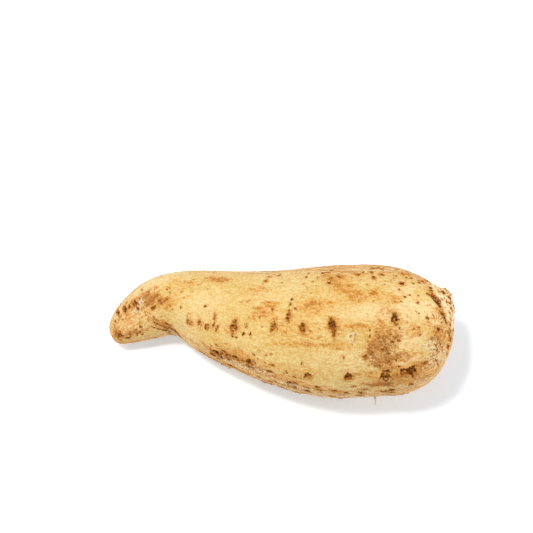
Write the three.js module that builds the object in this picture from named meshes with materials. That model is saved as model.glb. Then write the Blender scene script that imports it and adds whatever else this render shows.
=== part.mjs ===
// A white sweet potato: one storage root, thick at the stem end, tapering to a blunt tail that hooks to one side.
// Units are millimetres. +X runs from the tail to the stem end, +Z is up, and the root lies on a small flat on its
// belly at z = 0. The origin is under the middle of its bounding box.
//
// The body is lofted from rings. Seen from above, each ring reaches from a point on the back edge of the root to a
// point on its front edge, so the two edges draw the outline. Seen from the front, each ring has the height and the
// fullness that RING_LEVELS gives it. A few shallow lobes run along the root, as they do on most storage roots.
import * as THREE from "three";

// Driving dimensions
const LENGTH = 180; // tip of the tail to the torn stem, along X
const FLAT_DEPTH = 1.0; // how far the belly is pressed flat where the root rests
const RINGS_PER_SPAN = 5; // loft rings from one drawn station to the next
const RING_SIDES = 52;

// The outline in plan, as stations [x, y] from the tip of the tail to the torn stem. Both edges start at the tip.
const BACK_EDGE = [
  [-89, 5], [-90.5, 11], [-88, 18.5], [-83, 25], [-75.5, 31], [-65, 35.2], [-50, 36.3], [-28.5, 34.7],
  [-3, 33], [24, 34.2], [46, 34.6], [60.5, 32], [71, 27], [79, 22], [83.7, 20.7], [86.6, 19.3],
];
const FRONT_EDGE = [
  [-89, 5], [-85, 1.8], [-78, 2.2], [-70.5, 3.4], [-63, 4.8], [-54.5, 4.6], [-45, -4.3], [-28, -15],
  [-4, -26.6], [22, -33.8], [46, -33.6], [64.5, -32], [78.3, -24.5], [86, -10.5], [87.6, 1], [88.4, 8],
];
// For each station, the height of the ring's centre and its half height as a share of its half width.
const RING_LEVELS = [
  [10, 0.95], [10.4, 0.95], [11.3, 0.96], [12.6, 0.98], [15, 1.01], [18, 1.03], [21.3, 0.99], [24.2, 0.95],
  [27.5, 0.94], [30, 0.94], [30.5, 0.93], [31.5, 0.94], [33, 0.95], [34.5, 0.97], [35.5, 1], [36, 1],
];
// Shallow lobes round each ring: how many, their swell as a share of the radius, turns along the root, and phase.
const LOBES = [
  { count: 3, swell: 0.01, turns: 0.4, phase: 0.6 },
  { count: 5, swell: 0.006, turns: -0.7, phase: 1.9 },
];

const SPANS = BACK_EDGE.length - 1;
const RINGS = SPANS * RINGS_PER_SPAN;

const smoothThrough = (points) => new THREE.CatmullRomCurve3(points, false, "catmullrom", 0.5);

// One curve goes round the whole outline, from the stem along the front edge to the tip and back along the back edge,
// so the tail is round and not pointed.
const outline = smoothThrough(
  [...FRONT_EDGE.slice(1).reverse(), ...BACK_EDGE].map(([x, y]) => new THREE.Vector3(x, y, 0)),
);
const levels = smoothThrough(RING_LEVELS.map(([height, fullness]) => new THREE.Vector3(height, fullness, 0)));

function lobed(along, around) {
  return LOBES.reduce(
    (radius, { count, swell, turns, phase }) =>
      radius + swell * Math.cos(count * around + 2 * Math.PI * turns * along + phase),
    1,
  );
}

// A point of the skin: along runs from 0 at the tail to 1 at the stem, around is an angle, 0 at the back edge and a
// quarter turn at the top.
function skinPoint(along, around) {
  const back = outline.getPoint((1 + along) / 2);
  const front = outline.getPoint((1 - along) / 2);
  const level = levels.getPoint(along);
  const centre = back.clone().add(front).multiplyScalar(0.5).setZ(level.x);
  const acrossHalf = back.clone().sub(front).multiplyScalar(0.5);
  const upHalf = new THREE.Vector3(0, 0, acrossHalf.length() * level.y);
  const swell = lobed(along, around);
  return centre
    .addScaledVector(acrossHalf, swell * Math.cos(around))
    .addScaledVector(upHalf, swell * Math.sin(around));
}

// The closed skin: the tip, the rings, and a flat torn face across the last ring.
function skinGeometry() {
  const points = [skinPoint(0, 0)];
  for (let ring = 1; ring <= RINGS; ring++) {
    for (let side = 0; side < RING_SIDES; side++) {
      points.push(skinPoint(ring / RINGS, (2 * Math.PI * side) / RING_SIDES));
    }
  }
  const lastRing = points.slice(-RING_SIDES);
  const tornCentre = lastRing.reduce((sum, p) => sum.add(p), new THREE.Vector3()).divideScalar(RING_SIDES);
  points.push(tornCentre);

  const index = [];
  const corner = (ring, side) => 1 + (ring - 1) * RING_SIDES + (side % RING_SIDES);
  const torn = points.length - 1;
  for (let side = 0; side < RING_SIDES; side++) {
    index.push(0, corner(1, side + 1), corner(1, side));
    index.push(torn, corner(RINGS, side), corner(RINGS, side + 1));
    for (let ring = 1; ring < RINGS; ring++) {
      const [a, b] = [corner(ring, side), corner(ring, side + 1)];
      const [c, d] = [corner(ring + 1, side + 1), corner(ring + 1, side)];
      index.push(a, b, c, a, c, d);
    }
  }
  return new THREE.BufferGeometry().setFromPoints(points).setIndex(index);
}

// Presses the lowest part of the belly flat, then brings the root to its length, with its flat on z = 0 and its
// bounding box centred on the origin.
function settle(geometry) {
  geometry.computeBoundingBox();
  const floor = geometry.boundingBox.min.z + FLAT_DEPTH;
  const position = geometry.getAttribute("position");
  for (let i = 0; i < position.count; i++) {
    position.setZ(i, Math.max(position.getZ(i), floor));
  }
  geometry.computeBoundingBox();
  const { min, max } = geometry.boundingBox;
  const scale = LENGTH / (max.x - min.x);
  geometry.translate(-(min.x + max.x) / 2, -(min.y + max.y) / 2, -min.z);
  geometry.scale(scale, scale, scale);
  return geometry;
}

const skin = new THREE.MeshStandardMaterial({ color: 0xecc98a, roughness: 0.62, metalness: 0 });
const sweetPotato = new THREE.Mesh(settle(skinGeometry()), skin);
sweetPotato.name = "sweet_potato";

const root = new THREE.Group();
root.add(sweetPotato);

export default root;
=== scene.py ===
# %% [markdown]
# # A white sweet potato
#
# A sweet potato is a storage root: one piece of plant, with a thin tight skin over starchy flesh. It needs no
# parts and no joints. What makes it look real is what grew on it: rows of scars where side roots broke off, corky
# specks where the skin breathes, ochre stains from the soil, a torn stem at one end, and a blunt tail that hooks
# to one side.
#
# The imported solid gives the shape, the size and the place where the root rests. This lesson grows a fine skin on
# that shape, carves and stains it, scatters the small corky growths, tears the stem, and makes each finish from
# nodes.

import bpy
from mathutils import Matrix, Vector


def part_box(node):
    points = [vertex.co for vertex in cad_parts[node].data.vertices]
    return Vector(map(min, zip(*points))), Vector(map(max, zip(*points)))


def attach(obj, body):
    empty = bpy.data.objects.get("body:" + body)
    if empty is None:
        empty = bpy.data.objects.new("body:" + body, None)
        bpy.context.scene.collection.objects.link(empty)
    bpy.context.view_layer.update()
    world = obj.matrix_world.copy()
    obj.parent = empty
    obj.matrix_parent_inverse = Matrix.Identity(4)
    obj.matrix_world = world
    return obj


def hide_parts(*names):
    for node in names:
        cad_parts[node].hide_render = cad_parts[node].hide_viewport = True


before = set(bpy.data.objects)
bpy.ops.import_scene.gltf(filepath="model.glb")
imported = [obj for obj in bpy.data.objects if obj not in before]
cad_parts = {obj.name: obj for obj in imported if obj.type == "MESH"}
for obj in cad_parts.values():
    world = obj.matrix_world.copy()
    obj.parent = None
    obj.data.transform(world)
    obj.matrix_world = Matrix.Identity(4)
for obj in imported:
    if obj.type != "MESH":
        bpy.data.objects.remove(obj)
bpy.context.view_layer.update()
low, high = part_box("sweet_potato")
print("packed root, mm:", [round(1000 * side, 1) for side in high - low])

# %% The tools of the bench
import math

import bpy
import numpy as np
from mathutils import Vector

MM = 0.001  # the lists below are in millimetres, and Blender works in metres
chance = np.random.default_rng(7)  # where things lie by chance
knife = np.random.default_rng(23)  # the uneven edges of the scars, kept apart so that each keeps its own shape

# %% [markdown]
# ## The body: a loft that follows a rule
#
# Seen from above, the root's outline has a back edge and a front edge. Each ring of the body reaches from one
# edge to the other, and each station also gives the ring's height above the table and how full it is. A smooth
# curve through the stations does the rest, so sixteen stations are enough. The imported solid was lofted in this
# way too, with few faces. The skin needs many more, because its scars and wrinkles are real geometry, so it is
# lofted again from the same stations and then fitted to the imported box. Arrays do this in a moment, where a
# modelled cage would need a subdivision surface and would lose the exact outline.

# %% The stations of the loft, in millimetres
BACK_EDGE = [
    (-89, 5), (-90.5, 11), (-88, 18.5), (-83, 25), (-75.5, 31), (-65, 35.2), (-50, 36.3), (-28.5, 34.7), (-3, 33),
    (24, 34.2), (46, 34.6), (60.5, 32), (71, 27), (79, 22), (83.7, 20.7), (86.6, 19.3),
]
FRONT_EDGE = [
    (-89, 5), (-85, 1.8), (-78, 2.2), (-70.5, 3.4), (-63, 4.8), (-54.5, 4.6), (-45, -4.3), (-28, -15),
    (-4, -26.6), (22, -33.8), (46, -33.6), (64.5, -32), (78.3, -24.5), (86, -10.5), (87.6, 1), (88.4, 8),
]
# For each station, the height of the ring's centre, and its half height as a share of its half width
RING_LEVELS = [
    (10, 0.95), (10.4, 0.95), (11.3, 0.96), (12.6, 0.98), (15, 1.01), (18, 1.03), (21.3, 0.99), (24.2, 0.95),
    (27.5, 0.94), (30, 0.94), (30.5, 0.93), (31.5, 0.94), (33, 0.95), (34.5, 0.97), (35.5, 1), (36, 1),
]
# Shallow lobes: how many round the root, their swell, the turns they make along it, and their phase
LOBES = [(3, 0.01, 0.4, 0.6), (5, 0.006, -0.7, 1.9)]
print(f"{len(BACK_EDGE)} stations on the back edge, {len(FRONT_EDGE)} on the front edge, {len(LOBES)} sets of lobes")

# %% The loft


def smooth_through(points, share):
    """Points on a smooth curve through the given ones, at each share of the way from the first to the last."""
    points = np.array(points, float)
    before, after = 2 * points[0] - points[1], 2 * points[-1] - points[-2]
    padded = np.vstack([before, points, after])
    place = np.asarray(share) * (len(points) - 1)
    span = np.minimum(place.astype(int), len(points) - 2)
    t = (place - span)[..., None]
    a, b, c, d = (padded[span + step] for step in range(4))
    bend = 2 * a - 5 * b + 4 * c - d
    twist = 3 * b - a - 3 * c + d
    return 0.5 * (2 * b + (c - a) * t + bend * t**2 + twist * t**3)


def loft(along, around):
    """Points of the skin: along goes from 0 at the tail to 1 at the stem, around from the back edge over the top."""
    outline = FRONT_EDGE[:0:-1] + BACK_EDGE
    back, front = smooth_through(outline, (1 + along) / 2), smooth_through(outline, (1 - along) / 2)
    level = smooth_through(RING_LEVELS, along)
    half = (back - front) / 2
    swell = 1 + sum(s * np.cos(n * around + 2 * np.pi * turns * along + phase) for n, s, turns, phase in LOBES)
    plan = (back + front) / 2 + half * (swell * np.cos(around))[..., None]
    height = level[..., 0] + np.linalg.norm(half, axis=-1) * level[..., 1] * swell * np.sin(around)
    return np.concatenate([plan, height[..., None]], axis=-1)


# %% Rings an even distance apart
SKIN_RINGS = 322
SIDES = 284
CAP_RINGS = 20  # rings that close the torn face, from its rim to its middle
TRIAL_RINGS = 900  # only used to measure the way along the root


def grid(along):
    """The loft's points for rings at these places, SIDES to a ring."""
    around = np.linspace(0, 2 * np.pi, SIDES, endpoint=False)
    return loft(*np.meshgrid(along, around, indexing="ij"))


trial = np.linspace(0, 1, TRIAL_RINGS)
steps = np.linalg.norm(np.diff(grid(trial), axis=0), axis=-1).mean(axis=1)
travelled = np.concatenate([[0], np.cumsum(steps)])
ring_distance = np.linspace(travelled[-1] / SKIN_RINGS, travelled[-1], SKIN_RINGS)
skin = grid(np.interp(ring_distance, travelled, trial))
print(f"skin: {SKIN_RINGS} rings of {SIDES} points, {travelled[-1] / SKIN_RINGS:.2f} mm apart")

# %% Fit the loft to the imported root, and close both ends
plan_low, plan_high = skin.min(axis=(0, 1)), skin.max(axis=(0, 1))
fit = (high.x - low.x) / MM / (plan_high[0] - plan_low[0])
middle = (plan_low + plan_high) / 2
box_middle = np.array((low + high) / 2) / MM
tail_tip = grid(np.zeros(1))[0, 0]


def fitted(points):
    """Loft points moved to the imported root's place and size: centred in plan, with the tops level."""
    moved = (points - middle) * fit + box_middle
    moved[..., 2] = (points[..., 2] - plan_high[2]) * fit + high.z / MM
    return moved


skin, tail_tip = fitted(skin), fitted(tail_tip)
rim = skin[-1]
torn_middle = rim.mean(axis=0)
inwards = np.linspace(0, 1, CAP_RINGS + 2)[1:-1, None, None]
shape = np.concatenate([skin, rim + (torn_middle - rim) * inwards])
rings = len(shape)
print(f"fitted by {fit:.4f}; the torn face is {np.ptp(rim[:, 1]):.1f} mm across, {rings} rings in all")

# %% How the skin lies at each point


def unit(vectors):
    """The same directions, one long."""
    return vectors / np.maximum(np.linalg.norm(vectors, axis=-1, keepdims=True), 1e-9)


lengthwise = unit(np.gradient(shape, axis=0))
crosswise = unit(np.roll(shape, -1, axis=1) - np.roll(shape, 1, axis=1))
outward = unit(np.cross(crosswise, lengthwise))
centre_line = shape.mean(axis=1, keepdims=True)
girth = np.linalg.norm(shape - centre_line, axis=-1).mean(axis=1)
print(f"the root is {2 * girth.max():.0f} mm thick, and {2 * girth[SKIN_RINGS - 1]:.0f} mm at the torn stem")


def spot(x, turn):
    """The ring and the side of the grid point at x millimetres along the root and a turn round it in degrees."""
    side = round(turn / 360 * SIDES) % SIDES
    return np.abs(shape[:SKIN_RINGS, side, 0] - x).argmin(), side


# %% [markdown]
# ## Where side roots broke off
#
# Side roots leave a sweet potato in rows that run along it. Each one, once broken off, leaves a shallow pit with
# a raised corky lip, wider across the root than along it. Two simple numbers place a scar: its x along the root
# in millimetres, and its turn round the root in degrees, 0 at the back, 90 on top and 180 at the front. Some
# scars keep a plug of cork, so that only a ring round it is dark. The creases in the bend of the tail are carved
# in the same way: they are long thin scars that lean over.
#
# Hundreds of the smallest scars can't be listed one by one, nor can the rows on the back and the belly, so chance
# sets them out: in crowds where the skin has many, and along the same kind of rows on the sides that lie hidden.

# %% The scars
# x, turn, size across the root, size along it, how dark it is and how deep
SCARS = [
    # The upper row, from the tail to the stem
    (-47.3, 133, 5.6, 2.6, 0.15, 0.4), (-45.6, 136, 3, 2.2, 0.15, 0.4), (-41, 131, 4.2, 3, 0.4, 0.6),
    (-33.6, 114, 4, 2, 0.35, 0.6), (-34, 125, 4, 1.5, 0.4, 0.6), (-32, 128, 4.4, 1.7, 0.5, 0.7),
    (-23.3, 120, 7.4, 4, 0.8, 1), (-17, 115, 2.6, 1.4, 0.5, 0.7), (-18.5, 126, 2.4, 1.5, 0.8, 0.9),
    (-14.8, 124, 2.8, 1.6, 0.7, 0.9), (-3, 111, 6, 3.5, 0.55, 0.8), (4.6, 100, 3.6, 3, 0.55, 0.8),
    (3.4, 104, 2.6, 2, 0.6, 0.8), (11, 110, 6.6, 3.2, 0.65, 1), (26.2, 107, 6, 4.8, 0.8, 1.2),
    (26.8, 114.5, 5, 1.9, 0.7, 0.8), (57.3, 101, 5, 4, 1, 1.3), (57.9, 107, 2.4, 1.4, 0.6, 0.7),
    # The lower row
    (-32.2, 166, 4.6, 4.4, 1, 1.2), (-30.2, 172, 3.4, 2.6, 1, 0.8), (-26, 162, 3, 5, 0.8, 0.8),
    (-23, 160, 2.6, 4.4, 0.9, 0.8), (-15.4, 158, 4.4, 3.4, 1, 2), (14, 155.5, 4.8, 4.2, 0.65, 0.9),
    (34.4, 154, 4.4, 5, 0.85, 1), (72.4, 147.5, 2, 4.6, 0.75, 0.6), (42.5, 134, 3, 2.6, 0.5, 0.7),
    # Above, towards the stem
    (24.5, 66, 2.8, 2.6, 0.95, 0.7), (61.2, 66, 3, 3, 0.9, 0.7), (65.6, 170, 2.6, 2.8, 0.9, 0.7),
    # On the tail
    (-75.9, 79, 5, 2.8, 0.8, 0.8), (-78.4, 76, 3, 2, 0.7, 0.8), (-81, 70, 5, 2.6, 0.85, 0.9),
    (-85, 55, 6.4, 2.2, 0.85, 0.8), (-65.4, 110, 2, 3.8, 0.8, 0.8), (-62, 104, 3.4, 2.4, 0.5, 0.6),
    (-84, 124, 4, 2, 0.4, 0.6), (-74.2, 92, 2.2, 2, 1, 0.8),
    # Round the neck, where the stem begins
    (77, 73, 2.4, 2, 1, 1.6), (78.4, 78.5, 2.6, 2.1, 1, 1.8), (80.7, 89, 2.3, 2, 1, 1.5),
    (83.6, 61, 2.2, 2.8, 1, 1.2), (76.1, 61, 1.9, 1.9, 1, 1), (76.5, 66, 2, 2, 0.9, 0.9),
    (74.7, 73, 1.9, 2.4, 0.7, 0.9), (81.4, 100, 2.8, 3, 0.85, 1), (82.3, 106, 2.6, 2, 0.7, 0.9),
    (79.2, 116, 2.4, 2.4, 0.9, 0.9), (83.6, 114, 3, 2, 0.6, 0.9), (87.7, 143, 2.4, 2, 0.8, 0.9),
    (85.3, 136, 2.8, 2.4, 1, 1.1), (86.2, 150, 3.6, 2.2, 1, 1.1), (85, 153, 3.4, 2.2, 0.9, 1.1),
    (86.6, 84, 2.6, 2, 1, 1), (87, 97, 2.2, 1.8, 1, 1), (87.3, 110, 2.6, 2.2, 1, 1), (79.6, 84, 2.4, 2, 1, 1.7),
]
print(f"{len(SCARS)} scars, the largest {max(scar[2] for scar in SCARS):.1f} mm across the root")

# %% The smallest scars, and the ones with a plug
# Spots the size of a grain of rice or less: x, turn and how dark
SMALL_SCARS = [
    (-24, 132, 0.8), (-22.4, 132, 0.8), (6, 84, 0.8), (7.6, 92, 0.7), (3.3, 157, 1), (31.3, 134, 0.9),
    (16.6, 64, 0.5), (11.6, 66, 0.5), (59.5, 74, 0.85), (68.4, 86, 0.6), (73.6, 102, 0.6), (69.6, 116, 0.6),
    (75.3, 124, 0.6), (74.4, 166, 0.7), (59.4, 144, 0.6), (58.3, 153, 0.6), (-38.3, 104, 0.6), (-51.2, 115, 0.5),
    (5.4, 89, 0.45), (4.2, 95, 0.5), (70.1, 58, 0.7), (67, 62, 0.6), (-4, 95, 0.4), (20, 88, 0.5), (50, 40, 0.7),
    (-58, 84, 0.5), (1, 62, 0.4), (-7.4, 142, 0.4), (-11, 139, 0.4), (-13.4, 146, 0.5), (-4.6, 139, 0.3),
    (11, 143, 0.4), (69.1, 85, 0.6), (73.4, 102, 0.5), (79.2, 116, 0.7), (68.9, 110, 0.6), (64.6, 78, 0.7),
    (62.6, 81, 0.5), (58.4, 54, 0.8), (63.8, 54, 0.8), (66.6, 53, 0.9), (70.6, 57, 0.9), (80.2, 64, 0.8),
    (83.8, 61, 1), (76.3, 60, 1),
]
SMALL_SCAR_SIZE = 1.35
# Scars with a plug of cork in the middle, so that only a ring round it is dark
RING_SCARS = [
    (53, 154, 6.6, 5.4, 1, 1.2), (61.8, 151, 4.6, 5.4, 0.55, 1), (66, 150.5, 5.8, 5.6, 1, 1.3),
    (-37.2, 131, 3.6, 3, 0.6, 0.7), (-85, 123, 5, 2.6, 0.5, 0.6),
]
print(f"{len(SMALL_SCARS)} small scars, {len(RING_SCARS)} with a plug")

# %% Crowds of small scars, and the creases
# Crowds are set out by chance: x from and to, turn from and to, how many, the least and the most that
# each one is across, along and dark
CROWDS = [
    (-36, 14, 160, 188, 34, 1, 2.2, 1.4, 4.4, 0.5, 1), (-36, -4, 149, 166, 16, 0.7, 1.6, 0.9, 3, 0.3, 0.8),
    (12, 64, 166, 194, 22, 1.2, 2.4, 2, 6, 0.2, 0.7), (-8, 24, 46, 62, 8, 1.2, 2.6, 0.9, 2.2, 0.3, 0.7),
    (24, 75, 38, 62, 22, 1.6, 3.4, 1.2, 4, 0.2, 0.75), (-87, -66, 58, 84, 9, 1.2, 2.6, 0.9, 2, 0.4, 0.8),
    (-84, -70, 134, 162, 12, 0.9, 2, 1, 2.6, 0.4, 0.8), (75, 87, 54, 112, 14, 1.2, 3, 0.7, 1.5, 0.6, 1),
    (78, 89, 116, 166, 14, 1.4, 3.4, 0.7, 1.4, 0.3, 0.9), (44, 60, 108, 144, 22, 0.8, 1.7, 0.8, 2, 0.5, 1),
    (-70, -56, 84, 110, 6, 0.8, 1.6, 0.8, 1.6, 0.4, 0.8), (-40, 70, 192, 214, 24, 1, 2.6, 2, 6, 0.3, 0.9),
    (-70, 80, -10, 40, 22, 0.9, 2, 1, 2.6, 0.3, 0.9),
]
# Creases inside the bend of the tail: x, turn, how wide, how long, how dark, how deep, and how far they lean over
CREASES = [
    (-64.4, 136, 0.7, 3, 0.6, 1.4, 50), (-63.6, 146, 0.8, 5, 0.7, 1.8, 46), (-60.2, 158, 0.9, 6, 0.7, 2, 46),
    (-58.2, 154, 0.9, 4.6, 0.7, 1.8, 48), (-57, 166, 0.9, 6, 0.6, 2, 54), (-62, 165, 0.8, 5, 0.5, 1.6, 44),
    (-65.8, 152, 0.8, 3.6, 0.4, 1.4, 42), (-55, 176, 1, 6, 0.7, 2, 62), (-52.5, 186, 1.1, 7, 0.7, 2, 68),
    (-58.8, 174, 0.9, 5, 0.5, 1.8, 54), (-57, 196, 1.2, 7, 0.7, 2, 72), (-61, 214, 1.2, 7, 0.7, 2, 66),
    (-55, 206, 1.2, 7, 0.7, 2, 74),
]
print(f"{sum(crowd[4] for crowd in CROWDS)} scars in {len(CROWDS)} crowds, and {len(CREASES)} creases")

# %% One list of all that is carved
# x, turn, size across, size along, how dark, how deep, how far it leans, and how much its dark is a ring
MOST_LEAN = 14
SMALL_SCAR_DEPTH = 0.8
scars_to_carve = [(*scar, knife.uniform(-MOST_LEAN, MOST_LEAN), 0.3) for scar in SCARS]
scars_to_carve += [(x, turn, SMALL_SCAR_SIZE, SMALL_SCAR_SIZE, dark, SMALL_SCAR_DEPTH, 0, 0)
                   for x, turn, dark in SMALL_SCARS]
scars_to_carve += [(*scar, knife.uniform(-MOST_LEAN, MOST_LEAN), 1) for scar in RING_SCARS]
scars_to_carve += [(*crease, 0) for crease in CREASES]
placed = len(scars_to_carve)
for x_from, x_to, turn_from, turn_to, count, *sizes in CROWDS:
    for _ in range(count):
        x, turn = chance.uniform(x_from, x_to), chance.uniform(turn_from, turn_to)
        across_size, along_size, dark = (chance.uniform(*pair) for pair in zip(sizes[::2], sizes[1::2]))
        deep_lean_ringed = chance.uniform((0.4, -MOST_LEAN, 0), (0.8, MOST_LEAN, 1))
        scars_to_carve.append((x, turn, across_size, along_size, dark, *deep_lean_ringed))

# %% Rows of scars by chance, on the sides that lie hidden
HIDDEN_ROWS = (205, 238, 275, 312, 343)  # their turns
ROW_START, ROW_END = (-72, -60), 74  # the x of a row's first scar, from and to, and the x where it ends
ROW_GAP = (9, 24)  # from one scar to the next
OFF_ROW = 7  # how far round the root a scar may lie from its row, in degrees
RESTING_HEIGHT = 3.5  # below this the root is pressed against the table, and its scars are rubbed flat
for row in HIDDEN_ROWS:
    x = chance.uniform(*ROW_START)
    while x < ROW_END:
        turn, size = row + chance.uniform(-OFF_ROW, OFF_ROW), chance.uniform(2, 5.5)
        dark_deep_lean_ringed = chance.uniform((0.3, 0.6, -MOST_LEAN, 0), (1, 1.3, MOST_LEAN, 1))
        if shape[spot(x, turn)][2] > RESTING_HEIGHT:
            scars_to_carve.append((x, turn, size, size * chance.uniform(0.5, 0.9), *dark_deep_lean_ringed))
        x += chance.uniform(*ROW_GAP)
print(f"{placed} scars placed by hand, {len(scars_to_carve) - placed} by chance")

# %% [markdown]
# ## A finer plate of skin for each scar
#
# The skin's grid is two thirds of a millimetre wide, too coarse for a lip that's half a millimetre across. A
# finer grid over the whole root would be far too heavy. So each scar gets its own plate: a small patch of the
# same loft, a quarter of a millimetre fine. In its middle the plate lies just above the skin, and its edge dips
# under the skin, so the two look grown together.

# %% Lay out the plates
PLATE_CELL = 0.27
PLATE_REACH = 1.6  # a plate's half width, in half widths of its scar
LEAST_CELLS = 8  # along the side of the smallest plate
side_step = np.linalg.norm(np.roll(shape, -1, axis=1) - shape, axis=-1)


def leaned(along, across, lean):
    """Distances along and across the root, turned by a lean in degrees."""
    c, s = math.cos(math.radians(lean)), math.sin(math.radians(lean))
    return c * along - s * across, s * along + c * across


def plate(x, turn, across_size, along_size, lean):
    """One plate's grid: loft points, distance along the root, angle round it, and how near its own edge each is."""
    ring, side = spot(x, turn)
    counts = [max(LEAST_CELLS, round(size * PLATE_REACH / PLATE_CELL)) + 1 for size in (along_size, across_size)]
    halves = [size * PLATE_REACH / 2 for size in (along_size, across_size)]
    u, v = np.meshgrid(*(np.linspace(-half, half, count) for half, count in zip(halves, counts)), indexing="ij")
    on_along, on_across = leaned(u, v, lean)
    distance = np.minimum(ring_distance[ring] + on_along, travelled[-1])
    radius = side_step[ring, side] * SIDES / 2 / np.pi
    angle = side / SIDES * 2 * np.pi + on_across / radius
    near_edge = np.hypot(2 * u / along_size, 2 * v / across_size)
    return fitted(loft(np.interp(distance, travelled, trial), angle)), distance, angle, near_edge


plates = [plate(*scar[:4], lean=scar[6]) for scar in scars_to_carve]
plate_points, plate_distance, plate_angle, plate_edge = zip(*plates)
plate_cells = [(points.shape[0] - 1, points.shape[1] - 1) for points in plate_points]
print(f"{len(plates)} plates with {sum(a * b for a, b in plate_cells)} faces")

# %% [markdown]
# ## What grew on the skin
#
# Two kinds of record are kept for every point of the skin and the plates: how far it is carved in or raised, and
# marks from 0 to 1 that the finishes read later. Both come from the same brushes, so the colour of a scar can't
# slide away from its pit.

# %% The records
body_count = rings * SIDES
points = np.concatenate([shape.reshape(-1, 3), [tail_tip, torn_middle], *(p.reshape(-1, 3) for p in plate_points)])
on_body = np.arange(len(points)) < body_count + 2
points_turn = np.concatenate([np.tile(np.arange(SIDES) / SIDES * 2 * np.pi, rings), [0, 0],
                              *(angle.ravel() for angle in plate_angle)])
edges = np.concatenate([edge.ravel() for edge in plate_edge])
PLATE_GAP = 0.3  # how far the coarse skin lies under the plates, and the plates' edges under the skin
DIP_START, DIP_WIDTH = 1.35, 0.2  # where a plate's edge dips, in half widths of its scar
carved = np.zeros(len(points))
carved[~on_body] = -PLATE_GAP * np.clip((edges - DIP_START) / DIP_WIDTH, 0, 1)
MARKS = ("pale", "ochre", "brown", "weather", "freckled", "scar", "dark", "cork", "flaky", "neck", "torn")
marks = {name: np.zeros(len(points)) for name in MARKS}
print(f"{len(points)} points, each with {len(marks)} marks")

# %% How a mark spreads from a spot


def fade(distance, full, none):
    """1 up to the first distance, 0 from the second, and smooth between them."""
    share = np.clip((none - distance) / (none - full), 0, 1)
    return share * share * (3 - 2 * share)


def bell(distance, middle, width):
    """1 at the middle, and less on both sides of it, like a bell."""
    return np.exp(-(((distance - middle) / width) ** 2))


def stain(name, amount):
    """Adds to a mark in the way that stains add up, so that it never passes 1."""
    marks[name] = 1 - (1 - marks[name]) * (1 - np.clip(amount, 0, 1))


def from_spot(x, turn, lean=0.0):
    """Millimetres along, across and out of the skin from a spot, for every point, on axes that lean over."""
    ring, side = spot(x, turn)
    away = points - shape[ring, side]
    along, across = away @ lengthwise[ring, side], away @ crosswise[ring, side]
    return *leaned(along, across, -lean), away @ outward[ring, side]


def oval(away, length, width, depth):
    """How far out each point is in an oval of this size, from 0 in its middle to 1 at its edge."""
    return 2 * np.sqrt(sum((part / size) ** 2 for part, size in zip(away, (length, width, depth))))


# %% Carve the scars
SCAR_DEPTH = 0.24  # pit depth, as a share of the scar's narrower side
LIP_HEIGHT = 0.13
OUTLINE_WAVES = ((2, 0.08), (3, 0.06), (5, 0.08), (8, 0.06), (13, 0.05))  # how many round a scar, and how high


def carve_scar(x, turn, across_size, along_size, dark, deep, lean, ringed):
    """A pit with a raised uneven lip, dark inside or in a ring, and corky at the edge, in a faint ochre halo."""
    away = along, across, _ = from_spot(x, turn, lean)
    bearing = np.arctan2(across / across_size, along / along_size)
    waves = sum(size * np.sin(count * bearing + knife.uniform(0, 6.3)) for count, size in OUTLINE_WAVES)
    even_reach = oval(away, along_size, across_size, across_size)
    reach = even_reach * (1 + waves)
    narrow = min(across_size, along_size)
    uneven = 1 + 0.6 * np.sin(3 * bearing + knife.uniform(0, 6.3)) * np.sin(2 * bearing + knife.uniform(0, 6.3))
    plug = (knife.uniform(0, 0.16) + 0.15 * ringed) * narrow
    carved[...] -= deep * SCAR_DEPTH * narrow * fade(reach, 0.2, 1)
    carved[...] += deep * LIP_HEIGHT * narrow * uneven * bell(reach, 1.08, 0.2)
    carved[...] += plug * fade(reach, 0, 0.55)
    carved[...] -= PLATE_GAP * on_body * fade(even_reach, 1.2, 1.5)
    stain("scar", (0.55 + 0.45 * min(1, dark + 0.2)) * fade(reach, 0.6, 1.25))
    ring_dark = uneven * bell(reach, 0.8, 0.28)
    stain("dark", dark * np.maximum(ringed * ring_dark, (1 - ringed**2) * fade(reach, 0.5, 1.2)))
    stain("cork", 0.8 * bell(reach, 1.15, 0.3))
    stain("ochre", (0.15 + 0.25 * dark) * min(1, narrow / 2) * fade(reach, 0.9, 2.3))


for scar in scars_to_carve:
    carve_scar(*scar)
print(f"pits up to {-carved.min():.1f} mm deep, lips up to {carved.max():.1f} mm high")

# %% [markdown]
# ## Ridges, folds and the healed scar
#
# A low ridge runs along the front of the thick end, with hollows beside it. Round the neck the skin lies in
# folds, pale on top as a painted highlight and darker between them as painted shade. All of them are drawn with one
# brush: a soft stroke with a length, a width and a height, which is negative for a hollow. A stroke is soft enough
# for the skin's own grid, so it needs no plate. One scar has healed over with pale cork that stands proud, so it is
# an uneven ring and not a pit, with a painted shadow along its side towards the stem.

# %% The brush for strokes


def stroke(x, turn, lean, length, width, height):
    """Raises or presses in a soft stroke, and returns how much of it each point has."""
    along, across, out = from_spot(x, turn, lean)
    bent = across + 0.12 * width * np.sin(along * 1.7) + 0.02 * along**2
    share = bell(bent, 0, width / 2) * bell(out, 0, length) * fade(np.abs(along), 0.25 * length, 0.55 * length)
    carved[...] += height * share
    return share


# %% The ridge and its hollows
# x, turn, lean, length, width and height
RIDGES = [
    (59.5, 144, -4, 30, 3.4, 0.5), (59, 149, -4, 26, 2.4, -0.3), (17, 126, 0, 30, 2.6, -0.15),
    (30, 110, 0, 16, 1.8, -0.12), (17, 108, 0, 12, 1.6, -0.12),
]
for ridge in RIDGES:
    stroke(*ridge)
print(f"{len(RIDGES)} ridges and hollows")
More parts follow.
